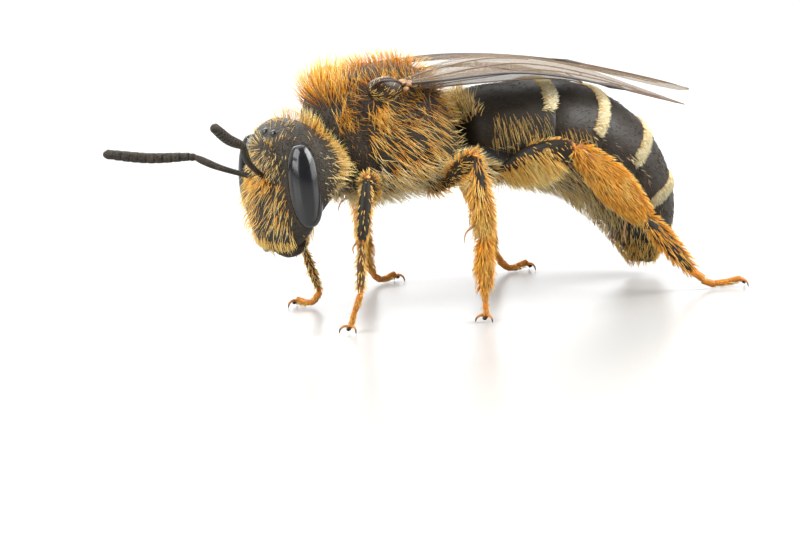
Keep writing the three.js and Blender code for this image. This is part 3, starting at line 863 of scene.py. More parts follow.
def shell_style(name, pit_scale, pit_size, grain, depth, rough, light):
    """Black hard shell, orange where the piece's own points say so, and darker in its pits as painted shade. light is
    how much paler its raised grain is.
    """
    colours = bpy.context.scene.bee_colours
    shader, nodes, link = new_style(name)
    pits = nodes.new("ShaderNodeGroup")
    pits.node_tree = pits_group()
    for key, value in (("Pit Scale", pit_scale), ("Pit Size", pit_size), ("Grain", grain)):
        pits.inputs[key].default_value = value
    cloud = roughened(nodes, link, shader, rough[0], rough[1], 4000.0)
    lighter = tuple(light * c for c in colours.shell)
    black = mixed(nodes, link, cloud, tuple(colours.shell), lighter)
    deep = tuple(0.35 * c for c in colours.orange_shell)
    orange = mixed(nodes, link, cloud, deep, tuple(colours.orange_shell))
    both = mixed(nodes, link, numbers(nodes, "orange"), black, orange)
    # The pits are painted darker: painted shade in the hollows of the shell.
    pit_shade = tuple(0.3 * c for c in colours.shell)
    link(mixed(nodes, link, pits.outputs["Pit"], both, pit_shade), shader.inputs["Base Color"])
    shader.inputs["Specular IOR Level"].default_value = 0.18
    bumped(nodes, link, shader, pits.outputs["Height"], depth)


def make_styles():
    """All the materials."""
    colours = bpy.context.scene.bee_colours
    shell_style("shell", 26000.0, 0.6, 0.5, 0.02 * MM, (0.42, 0.56), 6.5)
    shell_style("plate", 32000.0, 0.34, 0.4, 0.006 * MM, (0.34, 0.48), 3.4)
    shell_style("leg", 28000.0, 0.4, 0.3, 0.008 * MM, (0.34, 0.48), 3.2)

    shader, nodes, link = new_style("hair")
    scale = nodes.new("ShaderNodeValToRGB")
    stops = [(0.0, colours.hair_dark), (0.25, colours.hair_rust), (0.5, colours.hair_orange),
             (0.75, colours.hair_gold), (1.0, colours.hair_cream)]
    while len(scale.color_ramp.elements) < len(stops):
        scale.color_ramp.elements.new(0.5)
    for element, (position, tint) in zip(scale.color_ramp.elements, stops):
        element.position = position
        element.color = (*tint, 1.0)
    link(numbers(nodes, "tone"), scale.inputs["Fac"])
    deep = mixed(nodes, link, 1.0, scale.outputs["Color"], (0.74, 0.64, 0.5), "MULTIPLY")
    varied = mixed(nodes, link, numbers(nodes, "shade"), deep, scale.outputs["Color"])
    # Each hair is painted darker towards its root, where reach is small: painted shade deep in the coat.
    root = mixed(nodes, link, 1.0, varied, (0.52, 0.42, 0.32), "MULTIPLY")
    link(mixed(nodes, link, numbers(nodes, "reach"), root, varied), shader.inputs["Base Color"])
    shader.inputs["Roughness"].default_value = 0.4
    shader.inputs["Specular IOR Level"].default_value = 0.25
    shader.inputs["Subsurface Weight"].default_value = 0.6
    shader.inputs["Subsurface Radius"].default_value = (1.0, 0.6, 0.3)
    shader.inputs["Subsurface Scale"].default_value = 0.03 * MM

    shader, nodes, link = new_style("eye")
    facets = nodes.new("ShaderNodeGroup")
    facets.node_tree = pits_group()
    facets.inputs["Pit Scale"].default_value = 42000.0
    facets.inputs["Pit Size"].default_value = 0.7
    facets.inputs["Grain"].default_value = 0.0
    soft = mixed(nodes, link, facets.outputs["Pit"], tuple(colours.eye), tuple(2.2 * c for c in colours.eye))
    link(soft, shader.inputs["Base Color"])
    shader.inputs["Roughness"].default_value = 0.14
    bumped(nodes, link, shader, facets.outputs["Height"], 0.0006 * MM)

    shader, nodes, link = new_style("ocellus")
    cloud = roughened(nodes, link, shader, 0.04, 0.08, 6000.0)
    link(mixed(nodes, link, cloud, (0.003, 0.002, 0.002), (0.008, 0.006, 0.005)), shader.inputs["Base Color"])
    shader.inputs["Specular IOR Level"].default_value = 0.5

    shader, nodes, link = new_style("membrane")
    cloud = roughened(nodes, link, shader, 0.34, 0.5, 1600.0)
    pale = tuple(min(1.0, 2.0 * c) for c in colours.wing)
    link(mixed(nodes, link, cloud, tuple(colours.wing), pale), shader.inputs["Base Color"])
    shader.inputs["Alpha"].default_value = 0.43
    shader.inputs["Specular IOR Level"].default_value = 0.04
    pits = nodes.new("ShaderNodeGroup")
    pits.node_tree = pits_group()
    pits.inputs["Pit Scale"].default_value = 18000.0
    bumped(nodes, link, shader, pits.outputs["Height"], 0.002 * MM)

    shader, nodes, link = new_style("vein")
    cloud = roughened(nodes, link, shader, 0.3, 0.5, 9000.0)
    link(mixed(nodes, link, cloud, tuple(colours.vein), tuple(2.4 * c for c in colours.vein)),
         shader.inputs["Base Color"])

    shader, nodes, link = new_style("fine_vein")
    cloud = roughened(nodes, link, shader, 0.3, 0.5, 9000.0)
    link(mixed(nodes, link, cloud, (0.045, 0.02, 0.01), (0.12, 0.055, 0.03)), shader.inputs["Base Color"])

    shader, nodes, link = new_style("amber")
    cloud = roughened(nodes, link, shader, 0.22, 0.4, 9000.0)
    link(mixed(nodes, link, cloud, (0.13, 0.06, 0.022), (0.4, 0.21, 0.08)), shader.inputs["Base Color"])

    shader, nodes, link = new_style("claw")
    cloud = roughened(nodes, link, shader, 0.2, 0.34, 9000.0)
    claw = mixed(nodes, link, cloud, (0.3, 0.1, 0.02), (0.5, 0.2, 0.05))
    link(mixed(nodes, link, numbers(nodes, "orange"), (0.02, 0.008, 0.004), claw), shader.inputs["Base Color"])
    shader.inputs["Specular IOR Level"].default_value = 0.3

    shader, nodes, link = new_style("tegula")
    cloud = roughened(nodes, link, shader, 0.16, 0.4, 7000.0)
    link(mixed(nodes, link, cloud, (0.005, 0.003, 0.002), (0.05, 0.024, 0.01)), shader.inputs["Base Color"])
    shader.inputs["Specular IOR Level"].default_value = 0.22

    shader, nodes, link = new_style("floor")
    cloud = roughened(nodes, link, shader, 0.2, 0.26, 40.0)
    link(mixed(nodes, link, cloud, tuple(colours.floor), tuple(0.99 * c for c in colours.floor)),
         shader.inputs["Base Color"])
    shader.inputs["Specular IOR Level"].default_value = 0.25


# ---------------------------------------------------------------- pieces

def eye_frame(points, side):
    """Drawing points in the eye's own axes, as shares of its half sizes."""
    local = (points - np.array(EYE["centre"]) * [side, 1, 1])
    local = turned(local, "Z", EYE["heading"] if side > 0 else 180 - EYE["heading"])
    local = turned(local, "X", -EYE["lean"])
    return local / EYE["half"]


def eye_points(points, side):
    shaped = turned(np.asarray(points) * EYE["half"], "X", EYE["lean"])
    shaped = turned(shaped, "Z", -EYE["heading"] if side > 0 else EYE["heading"] - 180)
    return shaped + np.array(EYE["centre"]) * [side, 1, 1]


def off_eye(points, reach=1.3):
    """0 on either eye, rising to 1 at the given share of its size."""
    mirrored = np.abs(points[:, :1]) * [1, 0, 0] + points * [0, 1, 1]
    return ramp(np.linalg.norm(eye_frame(mirrored, 1), axis=1), 1.06, reach)


def tube_shell(part):
    return limb_shell(part["from"], part["to"], [part["half"]] * 3, bluntness=0.3)


class Piece:
    """Shared words of the operators."""

    bl_options = {"REGISTER", "UNDO"}


class BEE_OT_skin(Piece, bpy.types.Operator):
    """One skin over the head, neck, middle body and waist"""

    bl_idname = "bee.skin"
    bl_label = "Skin"

    def execute(self, context):
        parts = []
        shells = [(thorax_shell(), 120, 110), (head_shell(), 120, 96), (tube_shell(NECK), 40, 16),
                  (tube_shell(WAIST), 40, 16)]
        for number, (shell, sides, rings) in enumerate(shells):
            parts.append(facing_out(mesh_object(f"skin_part_{number}", *shell.grid(sides, rings))))
        whole = parts[0]
        for part in parts[1:]:
            cut = whole.modifiers.new("Join", "BOOLEAN")
            cut.operation = "UNION"
            cut.solver = "EXACT"
            cut.object = part
        skin = evaluated(whole, "bee_skin")
        for part in parts[1:]:
            bpy.data.objects.remove(part)
        skin.data.shade_smooth()
        layer = skin.data.attributes.new("orange", "FLOAT", "POINT")
        layer.data.foreach_set("value", np.zeros(len(skin.data.vertices), np.float32))
        finished(skin, "shell", ["head", "pronotum", "mesothorax", "scutellum", "propodeum"])
        return {"FINISHED"}


class BEE_OT_eyes(Piece, bpy.types.Operator):
    """The two long eyes and the three small ones on the brow"""

    bl_idname = "bee.eyes"
    bl_label = "Eyes"

    def execute(self, context):
        points, quads, caps = egg([0, 0, 0], [1, 1, 1], 72, 56, 0.72)
        for side, name in ((1, "eye_left"), (-1, "eye_right")):
            eye = facing_out(mesh_object(name + "_surface", eye_points(points, side), quads, caps))
            finished(eye, "eye", [name])
        spots = [OCELLI["median"], OCELLI["side"], [-OCELLI["side"][0], *OCELLI["side"][1:]]]
        eggs = [egg(spot, [OCELLI["half"]] * 3, 28, 20) for spot in spots]
        finished(facing_out(mesh_object("ocelli", *joined(eggs))), "ocellus")
        return {"FINISHED"}


class BEE_OT_mouth(Piece, bpy.types.Operator):
    """Mandibles and the folded mouthparts"""

    bl_idname = "bee.mouth"
    bl_label = "Mouth"

    def execute(self, context):
        for side, name in ((1, "mandible_left"), (-1, "mandible_right")):
            points, radii = smooth_path(np.array(MANDIBLE) * [side, 1, 1], [0.1, 0.1, 0.07, 0.03], 24)
            finished(tubes(name + "_blade", [(points, radii)], "tegula", 16), "tegula", [name])
        points, radii = smooth_path(MOUTHPARTS, [0.12, 0.13, 0.06], 16)
        finished(tubes("mouthparts_fold", [(points, radii)], "shell", 16), "shell", ["mouthparts"])
        return {"FINISHED"}


class BEE_OT_feelers(Piece, bpy.types.Operator):
    """Feelers: the long first joint, the small second one and the whip of short ones"""

    bl_idname = "bee.feelers"
    bl_label = "Feelers"

    def execute(self, context):
        count = context.scene.bee_sizes.feeler_joints
        for side, feeler in FEELERS.items():
            socket, elbow, tip = (np.array(feeler[key]) for key in ("socket", "elbow", "tip"))
            bow = np.array([0, -feeler["bow"], 0])
            points, radii = smooth_path([socket, (socket + elbow) / 2 + bow, elbow],
                                        [0.055, 0.055, 0.06, 0.068, 0.08, 0.078, 0.055], 30)
            scape = tubes(f"antenna_scape_{side}_rod", [(points, radii)], "shell", 20)
            finished(scape, "shell", [f"antenna_scape_{side}"])
            along = unit(tip - elbow)
            knee = smooth_path([elbow - along * 0.02, elbow + along * 0.1], [0.05, 0.075, 0.085, 0.075], 10)
            finished(tubes(f"antenna_pedicel_{side}", [knee], "leg", 20), "leg")
            length = np.linalg.norm(tip - elbow) - 0.12
            joint = length / count
            sag = np.array([0, 0, -0.05])
            first, last = elbow + along * (0.12 + joint / 2), tip - along * joint / 2
            points, radii = smooth_path([first, (first + last) / 2 + sag, last], [0.088, 0.104, 0.11, 0.11, 0.1], 40)
            whip = beads(f"antenna_flagellum_{side}_whip", points, radii, count, "shell", joint * 1.02)
            finished(whip, "shell", [f"antenna_flagellum_{side}"])
            nose = smooth_path([tip - along * 0.06, tip + along * 0.07], [0.09, 0.092, 0.084, 0.066, 0.03], 10)
            finished(tubes(f"antenna_tip_{side}", [nose], "shell", 20), "shell")
        return {"FINISHED"}


class BEE_OT_abdomen(Piece, bpy.types.Operator):
    """The six overlapping rings of the abdomen"""

    bl_idname = "bee.abdomen"
    bl_label = "Abdomen"

    def execute(self, context):
        for number in range(6):
            shell = ring_shell(number)
            points, quads, caps = shell.grid(120, 60)
            orange = np.where(np.arange(len(points)) // 120 > 58, 0.25, 0.0)
            ring = facing_out(mesh_object(f"abdomen_plate_{number + 1}", points, quads, caps, {"orange": orange}))
            finished(ring, "plate", [f"abdomen_segment_{number + 1}"])
        return {"FINISHED"}


# Wing veins as shares of the wing's length and of its width from the front edge, with a thickness share.
VEINS = [
    ([[0.0, 0.0], [0.12, 0.0], [0.3, 0.0], [0.45, 0.0], [0.55, 0.0]], [1.0, 1.0, 0.9, 0.8]),
    ([[0.0, 0.16], [0.12, 0.09], [0.3, 0.07], [0.45, 0.05], [0.55, 0.04]], [0.9, 0.9, 0.8, 0.7]),
    ([[0.53, 0.02], [0.57, 0.035], [0.62, 0.02]], [0.7, 2.0, 0.5]),
    ([[0.62, 0.01], [0.75, 0.005], [0.87, 0.02], [0.92, 0.06]], [0.7, 0.5, 0.3]),
    ([[0.6, 0.05], [0.66, 0.2], [0.76, 0.22], [0.88, 0.04]], [0.6, 0.6, 0.4]),
    ([[0.0, 0.5], [0.1, 0.42], [0.22, 0.44], [0.28, 0.46]], [0.9, 0.8, 0.7]),
    ([[0.27, 0.46], [0.275, 0.3], [0.32, 0.17], [0.42, 0.07]], [0.6, 0.6, 0.5]),
    ([[0.28, 0.46], [0.42, 0.58], [0.56, 0.64], [0.66, 0.66]], [0.6, 0.5, 0.35]),
    ([[0.32, 0.17], [0.46, 0.32], [0.62, 0.42], [0.8, 0.46]], [0.6, 0.5, 0.35]),
    ([[0.46, 0.32], [0.47, 0.18], [0.5, 0.06]], [0.5, 0.4]),
    ([[0.6, 0.41], [0.61, 0.3], [0.63, 0.12]], [0.5, 0.4]),
    ([[0.72, 0.45], [0.73, 0.33], [0.72, 0.22]], [0.4, 0.35]),
    ([[0.5, 0.62], [0.53, 0.5], [0.5, 0.35]], [0.4, 0.35]),
    ([[0.64, 0.66], [0.69, 0.56], [0.68, 0.44]], [0.35, 0.3]),
    ([[0.0, 0.8], [0.14, 0.76], [0.3, 0.78], [0.42, 0.86]], [0.7, 0.6, 0.4]),
    ([[0.26, 0.77], [0.27, 0.6], [0.26, 0.45]], [0.45, 0.4]),
]
HIND_VEINS = [
    ([[0.0, 0.0], [0.3, 0.0], [0.7, 0.0], [0.98, 0.1]], [1.0, 0.8, 0.4]),
    ([[0.0, 0.45], [0.3, 0.4], [0.6, 0.5], [0.8, 0.6]], [0.6, 0.5, 0.3]),
]


def wing_surface(rows, along, across, side=1):
    """A point of the wing at shares of its length and of its width from the front edge."""
    along, across = np.broadcast_arrays(np.asarray(along, float), np.asarray(across, float))
    row = between(rows, along.ravel() * (len(rows) - 1))
    rounding = np.sqrt(np.clip(1 - ((along.ravel() - 0.86) / 0.14).clip(0) ** 2, 0, 1))
    centre, half = (row[:, 1] + row[:, 2]) / 2, (row[:, 1] - row[:, 2]) / 2
    share = 1 - 2 * across.ravel()
    left = side * (centre + half * share * rounding)
    height = row[:, 3] + (row[:, 4] - row[:, 3]) * (1 - share * rounding) / 2
    folds = 0.014 * np.cos(across.ravel() * 24) * (1 - 0.6 * along.ravel())
    return np.stack([left, row[:, 0], height + folds], 1)


def wing_sheet(name, rows, node, side=1):
    """A thin closed membrane."""
    sizes = bpy.context.scene.bee_sizes
    across_cells, along_cells = 26, 90
    along, across = np.meshgrid(np.linspace(0, 1, along_cells + 1), np.linspace(0, 1, across_cells + 1),
                                indexing="ij")
    top = wing_surface(rows, along.ravel(), across.ravel(), side)
    lift = np.array([0, 0, sizes.membrane / MM / 2])
    points = np.vstack([top + lift, top - lift])
    wide = across_cells + 1
    i, j = np.meshgrid(np.arange(along_cells), np.arange(across_cells), indexing="ij")
    corner = (i * wide + j).ravel()
    sheet = np.stack([corner, corner + 1, corner + wide + 1, corner + wide], 1)
    lower = sheet[:, ::-1] + len(top)
    edge = np.concatenate([np.arange(wide), np.arange(1, along_cells + 1) * wide + across_cells,
                           along_cells * wide + np.arange(across_cells - 1, -1, -1),
                           np.arange(along_cells - 1, 0, -1) * wide])
    after = np.roll(edge, -1)
    rim = np.stack([edge, after, after + len(top), edge + len(top)], 1)
    sheet = facing_out(mesh_object(name, points, np.vstack([sheet, lower, rim])))
    return finished(sheet, "membrane", [node])


def wing_veins(name, rows, veins, thickness, look="fine_vein", side=1):
    paths = []
    for route, widths in veins:
        shares, radii = smooth_path(route, widths, 28)
        points = wing_surface(rows, shares[:, 0], shares[:, 1], side)
        paths.append((points, radii * thickness / 2))
    return finished(tubes(name, paths, look, 8), look)


class BEE_OT_wings(Piece, bpy.types.Operator):
    """Folded wings with their veins, the scales over their hinges and the small hinge plates"""

    bl_idname = "bee.wings"
    bl_label = "Wings"

    def execute(self, context):
        vein = context.scene.bee_sizes.vein_width / MM
        for side, sign in (("left", 1), ("right", -1)):
            wing_sheet(f"forewing_{side}_membrane", FOREWINGS[side], f"forewing_{side}")
            wing_veins(f"forewing_{side}_front_veins", FOREWINGS[side], VEINS[:3], vein, "vein")
            wing_veins(f"forewing_{side}_veins", FOREWINGS[side], VEINS[3:], vein)
            wing_sheet(f"hindwing_{side}_membrane", HINDWING, f"hindwing_{side}", sign)
            wing_veins(f"hindwing_{side}_veins", HINDWING, HIND_VEINS, vein * 0.7, "fine_vein", sign)
            points, quads, caps = egg([0, 0, 0], [1, 1, 1], 48, 36)
            scale = turned(points * TEGULA["half"], "X", TEGULA["pitch"])
            scale = turned(scale, "Y", sign * TEGULA["roll"]) + np.array(TEGULA["centre"]) * [sign, 1, 1]
            tegula = facing_out(mesh_object(f"tegula_{side}_scale", scale, quads, caps))
            finished(tegula, "tegula", [f"tegula_{side}"])
            angle = np.linspace(0, 2 * math.pi, 49)
            edge = np.stack([0.25 + 0 * angle, 0.97 * np.cos(angle), 0.97 * np.sin(angle)], 1) * TEGULA["half"]
            edge = turned(edge * [sign, 1, 1], "X", TEGULA["pitch"])
            edge = turned(edge, "Y", sign * TEGULA["roll"]) + np.array(TEGULA["centre"]) * [sign, 1, 1]
            finished(tubes(f"tegula_{side}_rim", [(edge, np.full(49, 0.026))], "claw", 8), "claw")
            spots = [([1.3, -0.42, 4.93], [0.08, 0.12, 0.06]), ([1.38, -0.3, 4.9], [0.06, 0.08, 0.05]),
                     ([1.2, -0.34, 4.95], [0.08, 0.1, 0.05]), ([1.36, -0.16, 4.86], [0.05, 0.09, 0.04]),
                     ([1.28, -0.22, 4.92], [0.05, 0.07, 0.05]), ([1.4, -0.38, 4.82], [0.05, 0.07, 0.05])]
            eggs = [egg(np.array(c) * [sign, 1, 1], h, 16, 12) for c, h in spots]
            finished(facing_out(mesh_object(f"hinge_plates_{side}", *joined(eggs))), "amber")
        return {"FINISHED"}


def leg_side(name):
    if name == "right_hind":
        return TURNED_SHIN
    return [1 if name.startswith("left") else -1, 0, 0.25]


def leg_shells(name):
    """The four long joints of a leg as shells, by name."""
    pair = name.split("_")[1]
    shells = {}
    for number, joint in enumerate(JOINTS):
        start, end = (np.array(LEGS[name][number + k]) for k in (0, 1))
        flat = 1.0 if joint == "coxa" else FLATTENING[pair]
        bow = np.array([0, 0, 0.06]) if joint == "femur" else np.zeros(3)
        shells[joint] = limb_shell(start, end, LEG_SIZES[pair][joint], flat, leg_side(name), bow)
    return shells


def foot_route(name):
    """The foot's path down to the floor and along it, and the way its claws spread."""
    heel, toe = np.array(LEGS[name][4]), np.array(LEGS[name][5])
    lying = abs(toe[2] - heel[2]) < 0.8 * np.linalg.norm((toe - heel)[:2])
    if lying:
        middle = heel + (toe - heel) * 0.4
        middle[2] = 0.1
        rise = heel + (toe - heel) * 0.75
        rise[2] = 0.17
        route = [heel, middle, rise, [*toe[:2], 0.13]]
        forward = unit((toe - heel) * [1, 1, 0])
    else:
        route = [heel, heel + (toe - heel) * 0.5, [*toe[:2], 0.12]]
        forward = unit(np.array([0.6 if name.startswith("left") else -0.6, -0.8, 0]))
    return route, forward


# The spur at each shin's end, in mm from the ankle: [down the shin, inward].
SPURS = {"front": [[-0.08, 0.06], [0.07, 0.2], [0.22, 0.16]], "middle": [[-0.26, 0.2], [-0.12, 0.43], [0.1, 0.5]],
         "hind": [[-0.3, 0.18], [-0.1, 0.5], [0.12, 0.68]]}


def claw_paths(route, forward):
    """Two hooked claws that reach down to the floor."""
    toe = np.array(route[-1])
    spread = np.cross(forward, [0, 0, 1])
    paths = []
    for side in (1, -1):
        points = [toe, toe + side * spread * 0.09 + forward * 0.05 + [0, 0, 0.03],
                  toe + side * spread * 0.17 + forward * 0.1 + [0, 0, -0.02],
                  toe + side * spread * 0.19 + forward * 0.12 + [0, 0, 0.012 - toe[2]]]
        paths.append(smooth_path(points, [0.034, 0.03, 0.022, 0.006], 14))
    return paths


class BEE_OT_legs(Piece, bpy.types.Operator):
    """Six legs: four long joints each, then the foot with its claws, pad and spur"""

    bl_idname = "bee.legs"
    bl_label = "Legs"

    def execute(self, context):
        for name in LEGS:
            pair = name.split("_")[1]
            for joint, shell in leg_shells(name).items():
                sides, rings = 40, 40
                points, quads, caps = shell.grid(sides, rings)
                share = np.append(np.repeat(np.linspace(0, 1, rings + 1), sides), [0, 1])
                orange = self.orange(pair, joint, share)
                thing = facing_out(mesh_object(f"{name}_{joint}_shell", points, quads, caps, {"orange": orange}))
                finished(thing, "leg", [f"{name}_{joint}"])
            self.foot(name, pair)
        return {"FINISHED"}

    def orange(self, pair, joint, share):
        """Where a joint is orange, from its start to its end."""
        ends = np.maximum(ramp(share, 0.12, 0.0), ramp(share, 0.86, 0.98))
        if joint == "coxa":
            return 0 * share
        if joint == "femur":
            return 0.8 * ramp(share, 0.86, 0.97)
        if pair == "hind":
            return 0.45 + 0.55 * ends if joint == "tibia" else ends
        if joint == "basitarsus" and pair == "front":
            return 0.15 + 0.6 * ramp(share, 0.1, 0.02) + 0.85 * ramp(share, 0.7, 0.95)
        if joint == "basitarsus":
            return 0.6 + 0.4 * ends
        return 0.9 * ends

    def foot(self, name, pair):
        route, forward = foot_route(name)
        size = {"front": 0.062, "middle": 0.066, "hind": 0.07}[pair]
        path, radii = smooth_path(route, [size * 1.15, size, size * 0.85, size * 0.75], 40)
        steps = np.concatenate([[0], np.cumsum(np.linalg.norm(np.diff(path, axis=0), axis=1))])
        count = 4
        inner = np.linspace(steps[-1] / count / 2, steps[-1] * (1 - 0.5 / count), 20)
        middle = np.stack([np.interp(inner, steps, path[:, k]) for k in range(3)], 1)
        radii = np.interp(inner, steps, radii)
        joints = beads(f"{name}_tarsus", middle, radii, count, "leg", steps[-1] / count * 1.04)
        layer = joints.data.attributes.new("orange", "FLOAT", "POINT")
        layer.data.foreach_set("value", np.ones(len(joints.data.vertices), np.float32))
        finished(joints, "leg", [f"{name}_foot"])
        claws = tubes(f"{name}_claws", claw_paths(route, forward), "claw", 10)
        heights = np.array([v.co.z for v in claws.data.vertices]) / MM
        layer = claws.data.attributes.new("orange", "FLOAT", "POINT")
        layer.data.foreach_set("value", ramp(heights, 0.06, 0.13).astype(np.float32))
        finished(claws, "claw")
        pad = egg(np.array(route[-1]) + forward * 0.07 - [0, 0, 0.03], [0.05, 0.05, 0.04], 16, 10)
        finished(facing_out(mesh_object(f"{name}_pad", *pad)), "tegula")
        knee, ankle = np.array(LEGS[name][2]), np.array(LEGS[name][3])
        down = unit(ankle - knee)
        below = np.array([0, 0, -1.0])
        inward = unit(below - down * (below @ down)) if pair == "hind" else np.array([0, -1.0, 0])
        points = [ankle + down * along + inward * out for along, out in SPURS[pair]]
        path = smooth_path(points, [0.03, 0.022, 0.004], 12)
        finished(tubes(f"{name}_spur", [path], "amber", 8), "amber")


# ---------------------------------------------------------------- the coat

def mirror_x(points):
    """Both sides read as the left one."""
    return np.abs(points[:, :1]) * [1, 0, 0] + points * [0, 1, 1]


def sideways(points):
    """+1 on the bee's left, -1 on its right, and smooth across the middle."""
    return np.clip(points[:, 0] / 0.3, -1, 1)


def field(*columns):
    """A direction for each hair from three columns."""
    return np.stack(np.broadcast_arrays(*columns), -1).astype(float)


class BEE_OT_head_coat(Piece, bpy.types.Operator):
    """Hair of the face, brow, crown and cheeks"""

    bl_idname = "bee.head_coat"
    bl_label = "Head coat"

    def execute(self, context):
        shell = head_shell()
        coat_object("face_coat", [self.muzzle(shell), self.feeler_tufts(shell), self.brow(shell)])
        groups = [self.crown(shell), self.cheeks(shell), self.ruff(shell), self.jaw(shell), self.fringe(shell)]
        coat_object("crown_coat", groups)
        coat_object("crown_down", [self.down(shell)])
        return {"FINISHED"}

    def muzzle(self, shell):
        def density(p, n, around, along):
            mouth = 1 - 0.55 * ramp(p[:, 2], 2.3, 2.0)
            return (ramp(-n[:, 1], 0.05, 0.4) * ramp(p[:, 2], 3.25, 3.05) * ramp(p[:, 2], 1.58, 1.7) * mouth
                    * off_eye(p) * ramp(np.abs(p[:, 0]), 1.02 + 0.2 * ramp(p[:, 2], 2.3, 2.5), 0.9))

        roots = Roots(shell, 350, 21, density)
        p = roots.points
        lie = roots.lying(field(0.45 * p[:, 0], -0.1, -1.0))
        low = ramp(p[:, 2], 2.3, 1.7)
        lift = 41 - 15 * low
        tone = 0.85 + 0.06 * ripple(p, 0.5, 5) - 0.12 * ramp(p[:, 2], 2.7, 3.1)
        return strands(roots, lie, 0.33 - 0.07 * low, lift, 0.32, tone, 0.51, 0.22, root_shade=0.3)

    def feeler_tufts(self, shell):
        def density(p, n, around, along):
            return near(mirror_x(p), [0.3, -3.2, 3.12], [0.36, 0.5, 0.3])

        roots = Roots(shell, 150, 22, density)
        lie = roots.lying(field(0.6 * sideways(roots.points), 0, -0.6))
        return strands(roots, lie, 0.24, 50, 0.4, 0.58, 0.7, 0.5)

    def brow(self, shell):
        def density(p, n, around, along):
            clear = 1 - ramp(near(mirror_x(p), [0.2, -2.86, 4.07], [0.3, 0.4, 0.3]), 0.1, 0.5)
            clear *= 1 - ramp(near(p, [0, -3.0, 3.93], [0.24, 0.4, 0.24]), 0.1, 0.5)
            far = ramp(p[:, 0], 0.0, -0.3)
            inner = ramp(np.abs(p[:, 0]), 0.95 + 0.15 * far - 0.4 * ramp(p[:, 2], 3.5, 3.8), 0.4 + 0.3 * far)
            return ramp(-n[:, 1], 0.1, 0.4) * ramp(p[:, 2], 3.15, 3.35) * clear * (0.12 + 0.88 * inner) * off_eye(p)

        roots = Roots(shell, 270, 23, density)
        p = roots.points
        lie = roots.lying(field(0.35 * sideways(p), -0.2, -0.8 + 1.2 * ramp(p[:, 2], 3.5, 3.9)))
        inner = ramp(np.abs(p[:, 0]), 0.9, 0.5)
        return strands(roots, lie, 0.12 + 0.13 * inner, 38, 0.35, 0.88, 0.5, 0.3, root_shade=0.15)

    def crown(self, shell):
        def density(p, n, around, along):
            rim = ramp(n[:, 1], 0.3, 0.5) * ramp(n[:, 1], 0.98, 0.85) * ramp(p[:, 2], 3.35, 3.6)
            return rim + 0.1 * ramp(n[:, 2], 0.5, 0.8) * ramp(p[:, 1], -2.75, -2.5)

        roots = Roots(shell, 420, 24, density)
        lie = roots.lying(field(0.3 * sideways(roots.points), -0.8, 0.2))
        tone = 0.74 + 0.08 * ripple(roots.points, 0.6, 6)
        high = ramp(roots.points[:, 2], 3.9, 4.15)
        return strands(roots, lie, 0.26 + 0.16 * high, 66, 0.25, tone, 0.5, 0.4)

    def down(self, shell):
        def density(p, n, around, along):
            top = ramp(p[:, 2], 3.3, 3.6) * ramp(p[:, 1], -1.95, -2.1) * off_eye(p, 1.35)
            return top * (1 - near(mirror_x(p), [0.12, -2.9, 4.03], [0.26, 0.3, 0.24]))

        roots = Roots(shell, 500, 28, density)
        lie = roots.lying(field(0.5 * sideways(roots.points), -0.6, -0.5))
        return strands(roots, lie, 0.05, 28, 0.4, 0.72, 0.36, 0.5, 2)

    def cheeks(self, shell):
        def density(p, n, around, along):
            behind = ramp(p[:, 1], -2.5, -1.9)
            low = ramp(p[:, 2], 3.9, 3.5)
            side = ramp(np.abs(n[:, 0]), 0.25, 0.6)
            return side * (0.25 + behind) * off_eye(p, 1.25) * low * ramp(p[:, 1], -2.9, -2.6)

        roots = Roots(shell, 420, 25, density)
        p = roots.points
        back = ramp(p[:, 1], -2.4, -1.8)
        lie = roots.lying(field(0, 1.0, -1.0 + 0.7 * ramp(p[:, 2], 3.2, 3.8)))
        return strands(roots, lie, 0.11 + 0.14 * back, 20 + 20 * back, 0.35, 0.86, 0.58, 0.22)

    def ruff(self, shell):
        def density(p, n, around, along):
            edge = np.exp(-((p[:, 1] + 1.8) / 0.22) ** 2)
            return edge * ramp(np.abs(n[:, 0]) + n[:, 2], 0.2, 0.5) * ramp(p[:, 2], 1.9, 2.4)

        roots = Roots(shell, 900, 26, density)
        high = ramp(roots.points[:, 2], 3.3, 3.8)
        lie = roots.lying(field(0, 1.0, -0.25))
        return strands(roots, lie, 0.4 - 0.18 * high, 42, 0.1, 0.8 - 0.1 * high, 0.72, 0.25)

    def jaw(self, shell):
        def density(p, n, around, along):
            return ramp(p[:, 2], 2.3, 1.9) * ramp(p[:, 1], -2.7, -2.5)

        roots = Roots(shell, 230, 27, density)
        lie = roots.lying(field(0.2 * sideways(roots.points), 0.4, -1.0))
        return strands(roots, lie, 0.3, 40, 0.3, 0.8, 0.6, 0.4)

    def fringe(self, shell):
        """Hair that hangs from the lower edge of the face."""
        def density(p, n, around, along):
            return np.exp(-((p[:, 2] - 1.86) / 0.07) ** 2) * ramp(-n[:, 1], 0.1, 0.4) * ramp(np.abs(p[:, 0]), 0.95, 0.8)

        roots = Roots(shell, 170, 29, density)
        lie = roots.lying(field(0.2 * sideways(roots.points), -0.3, -1.0))
        return strands(roots, lie, 0.24, 24, 0.1, 0.74, 0.7, 0.25)


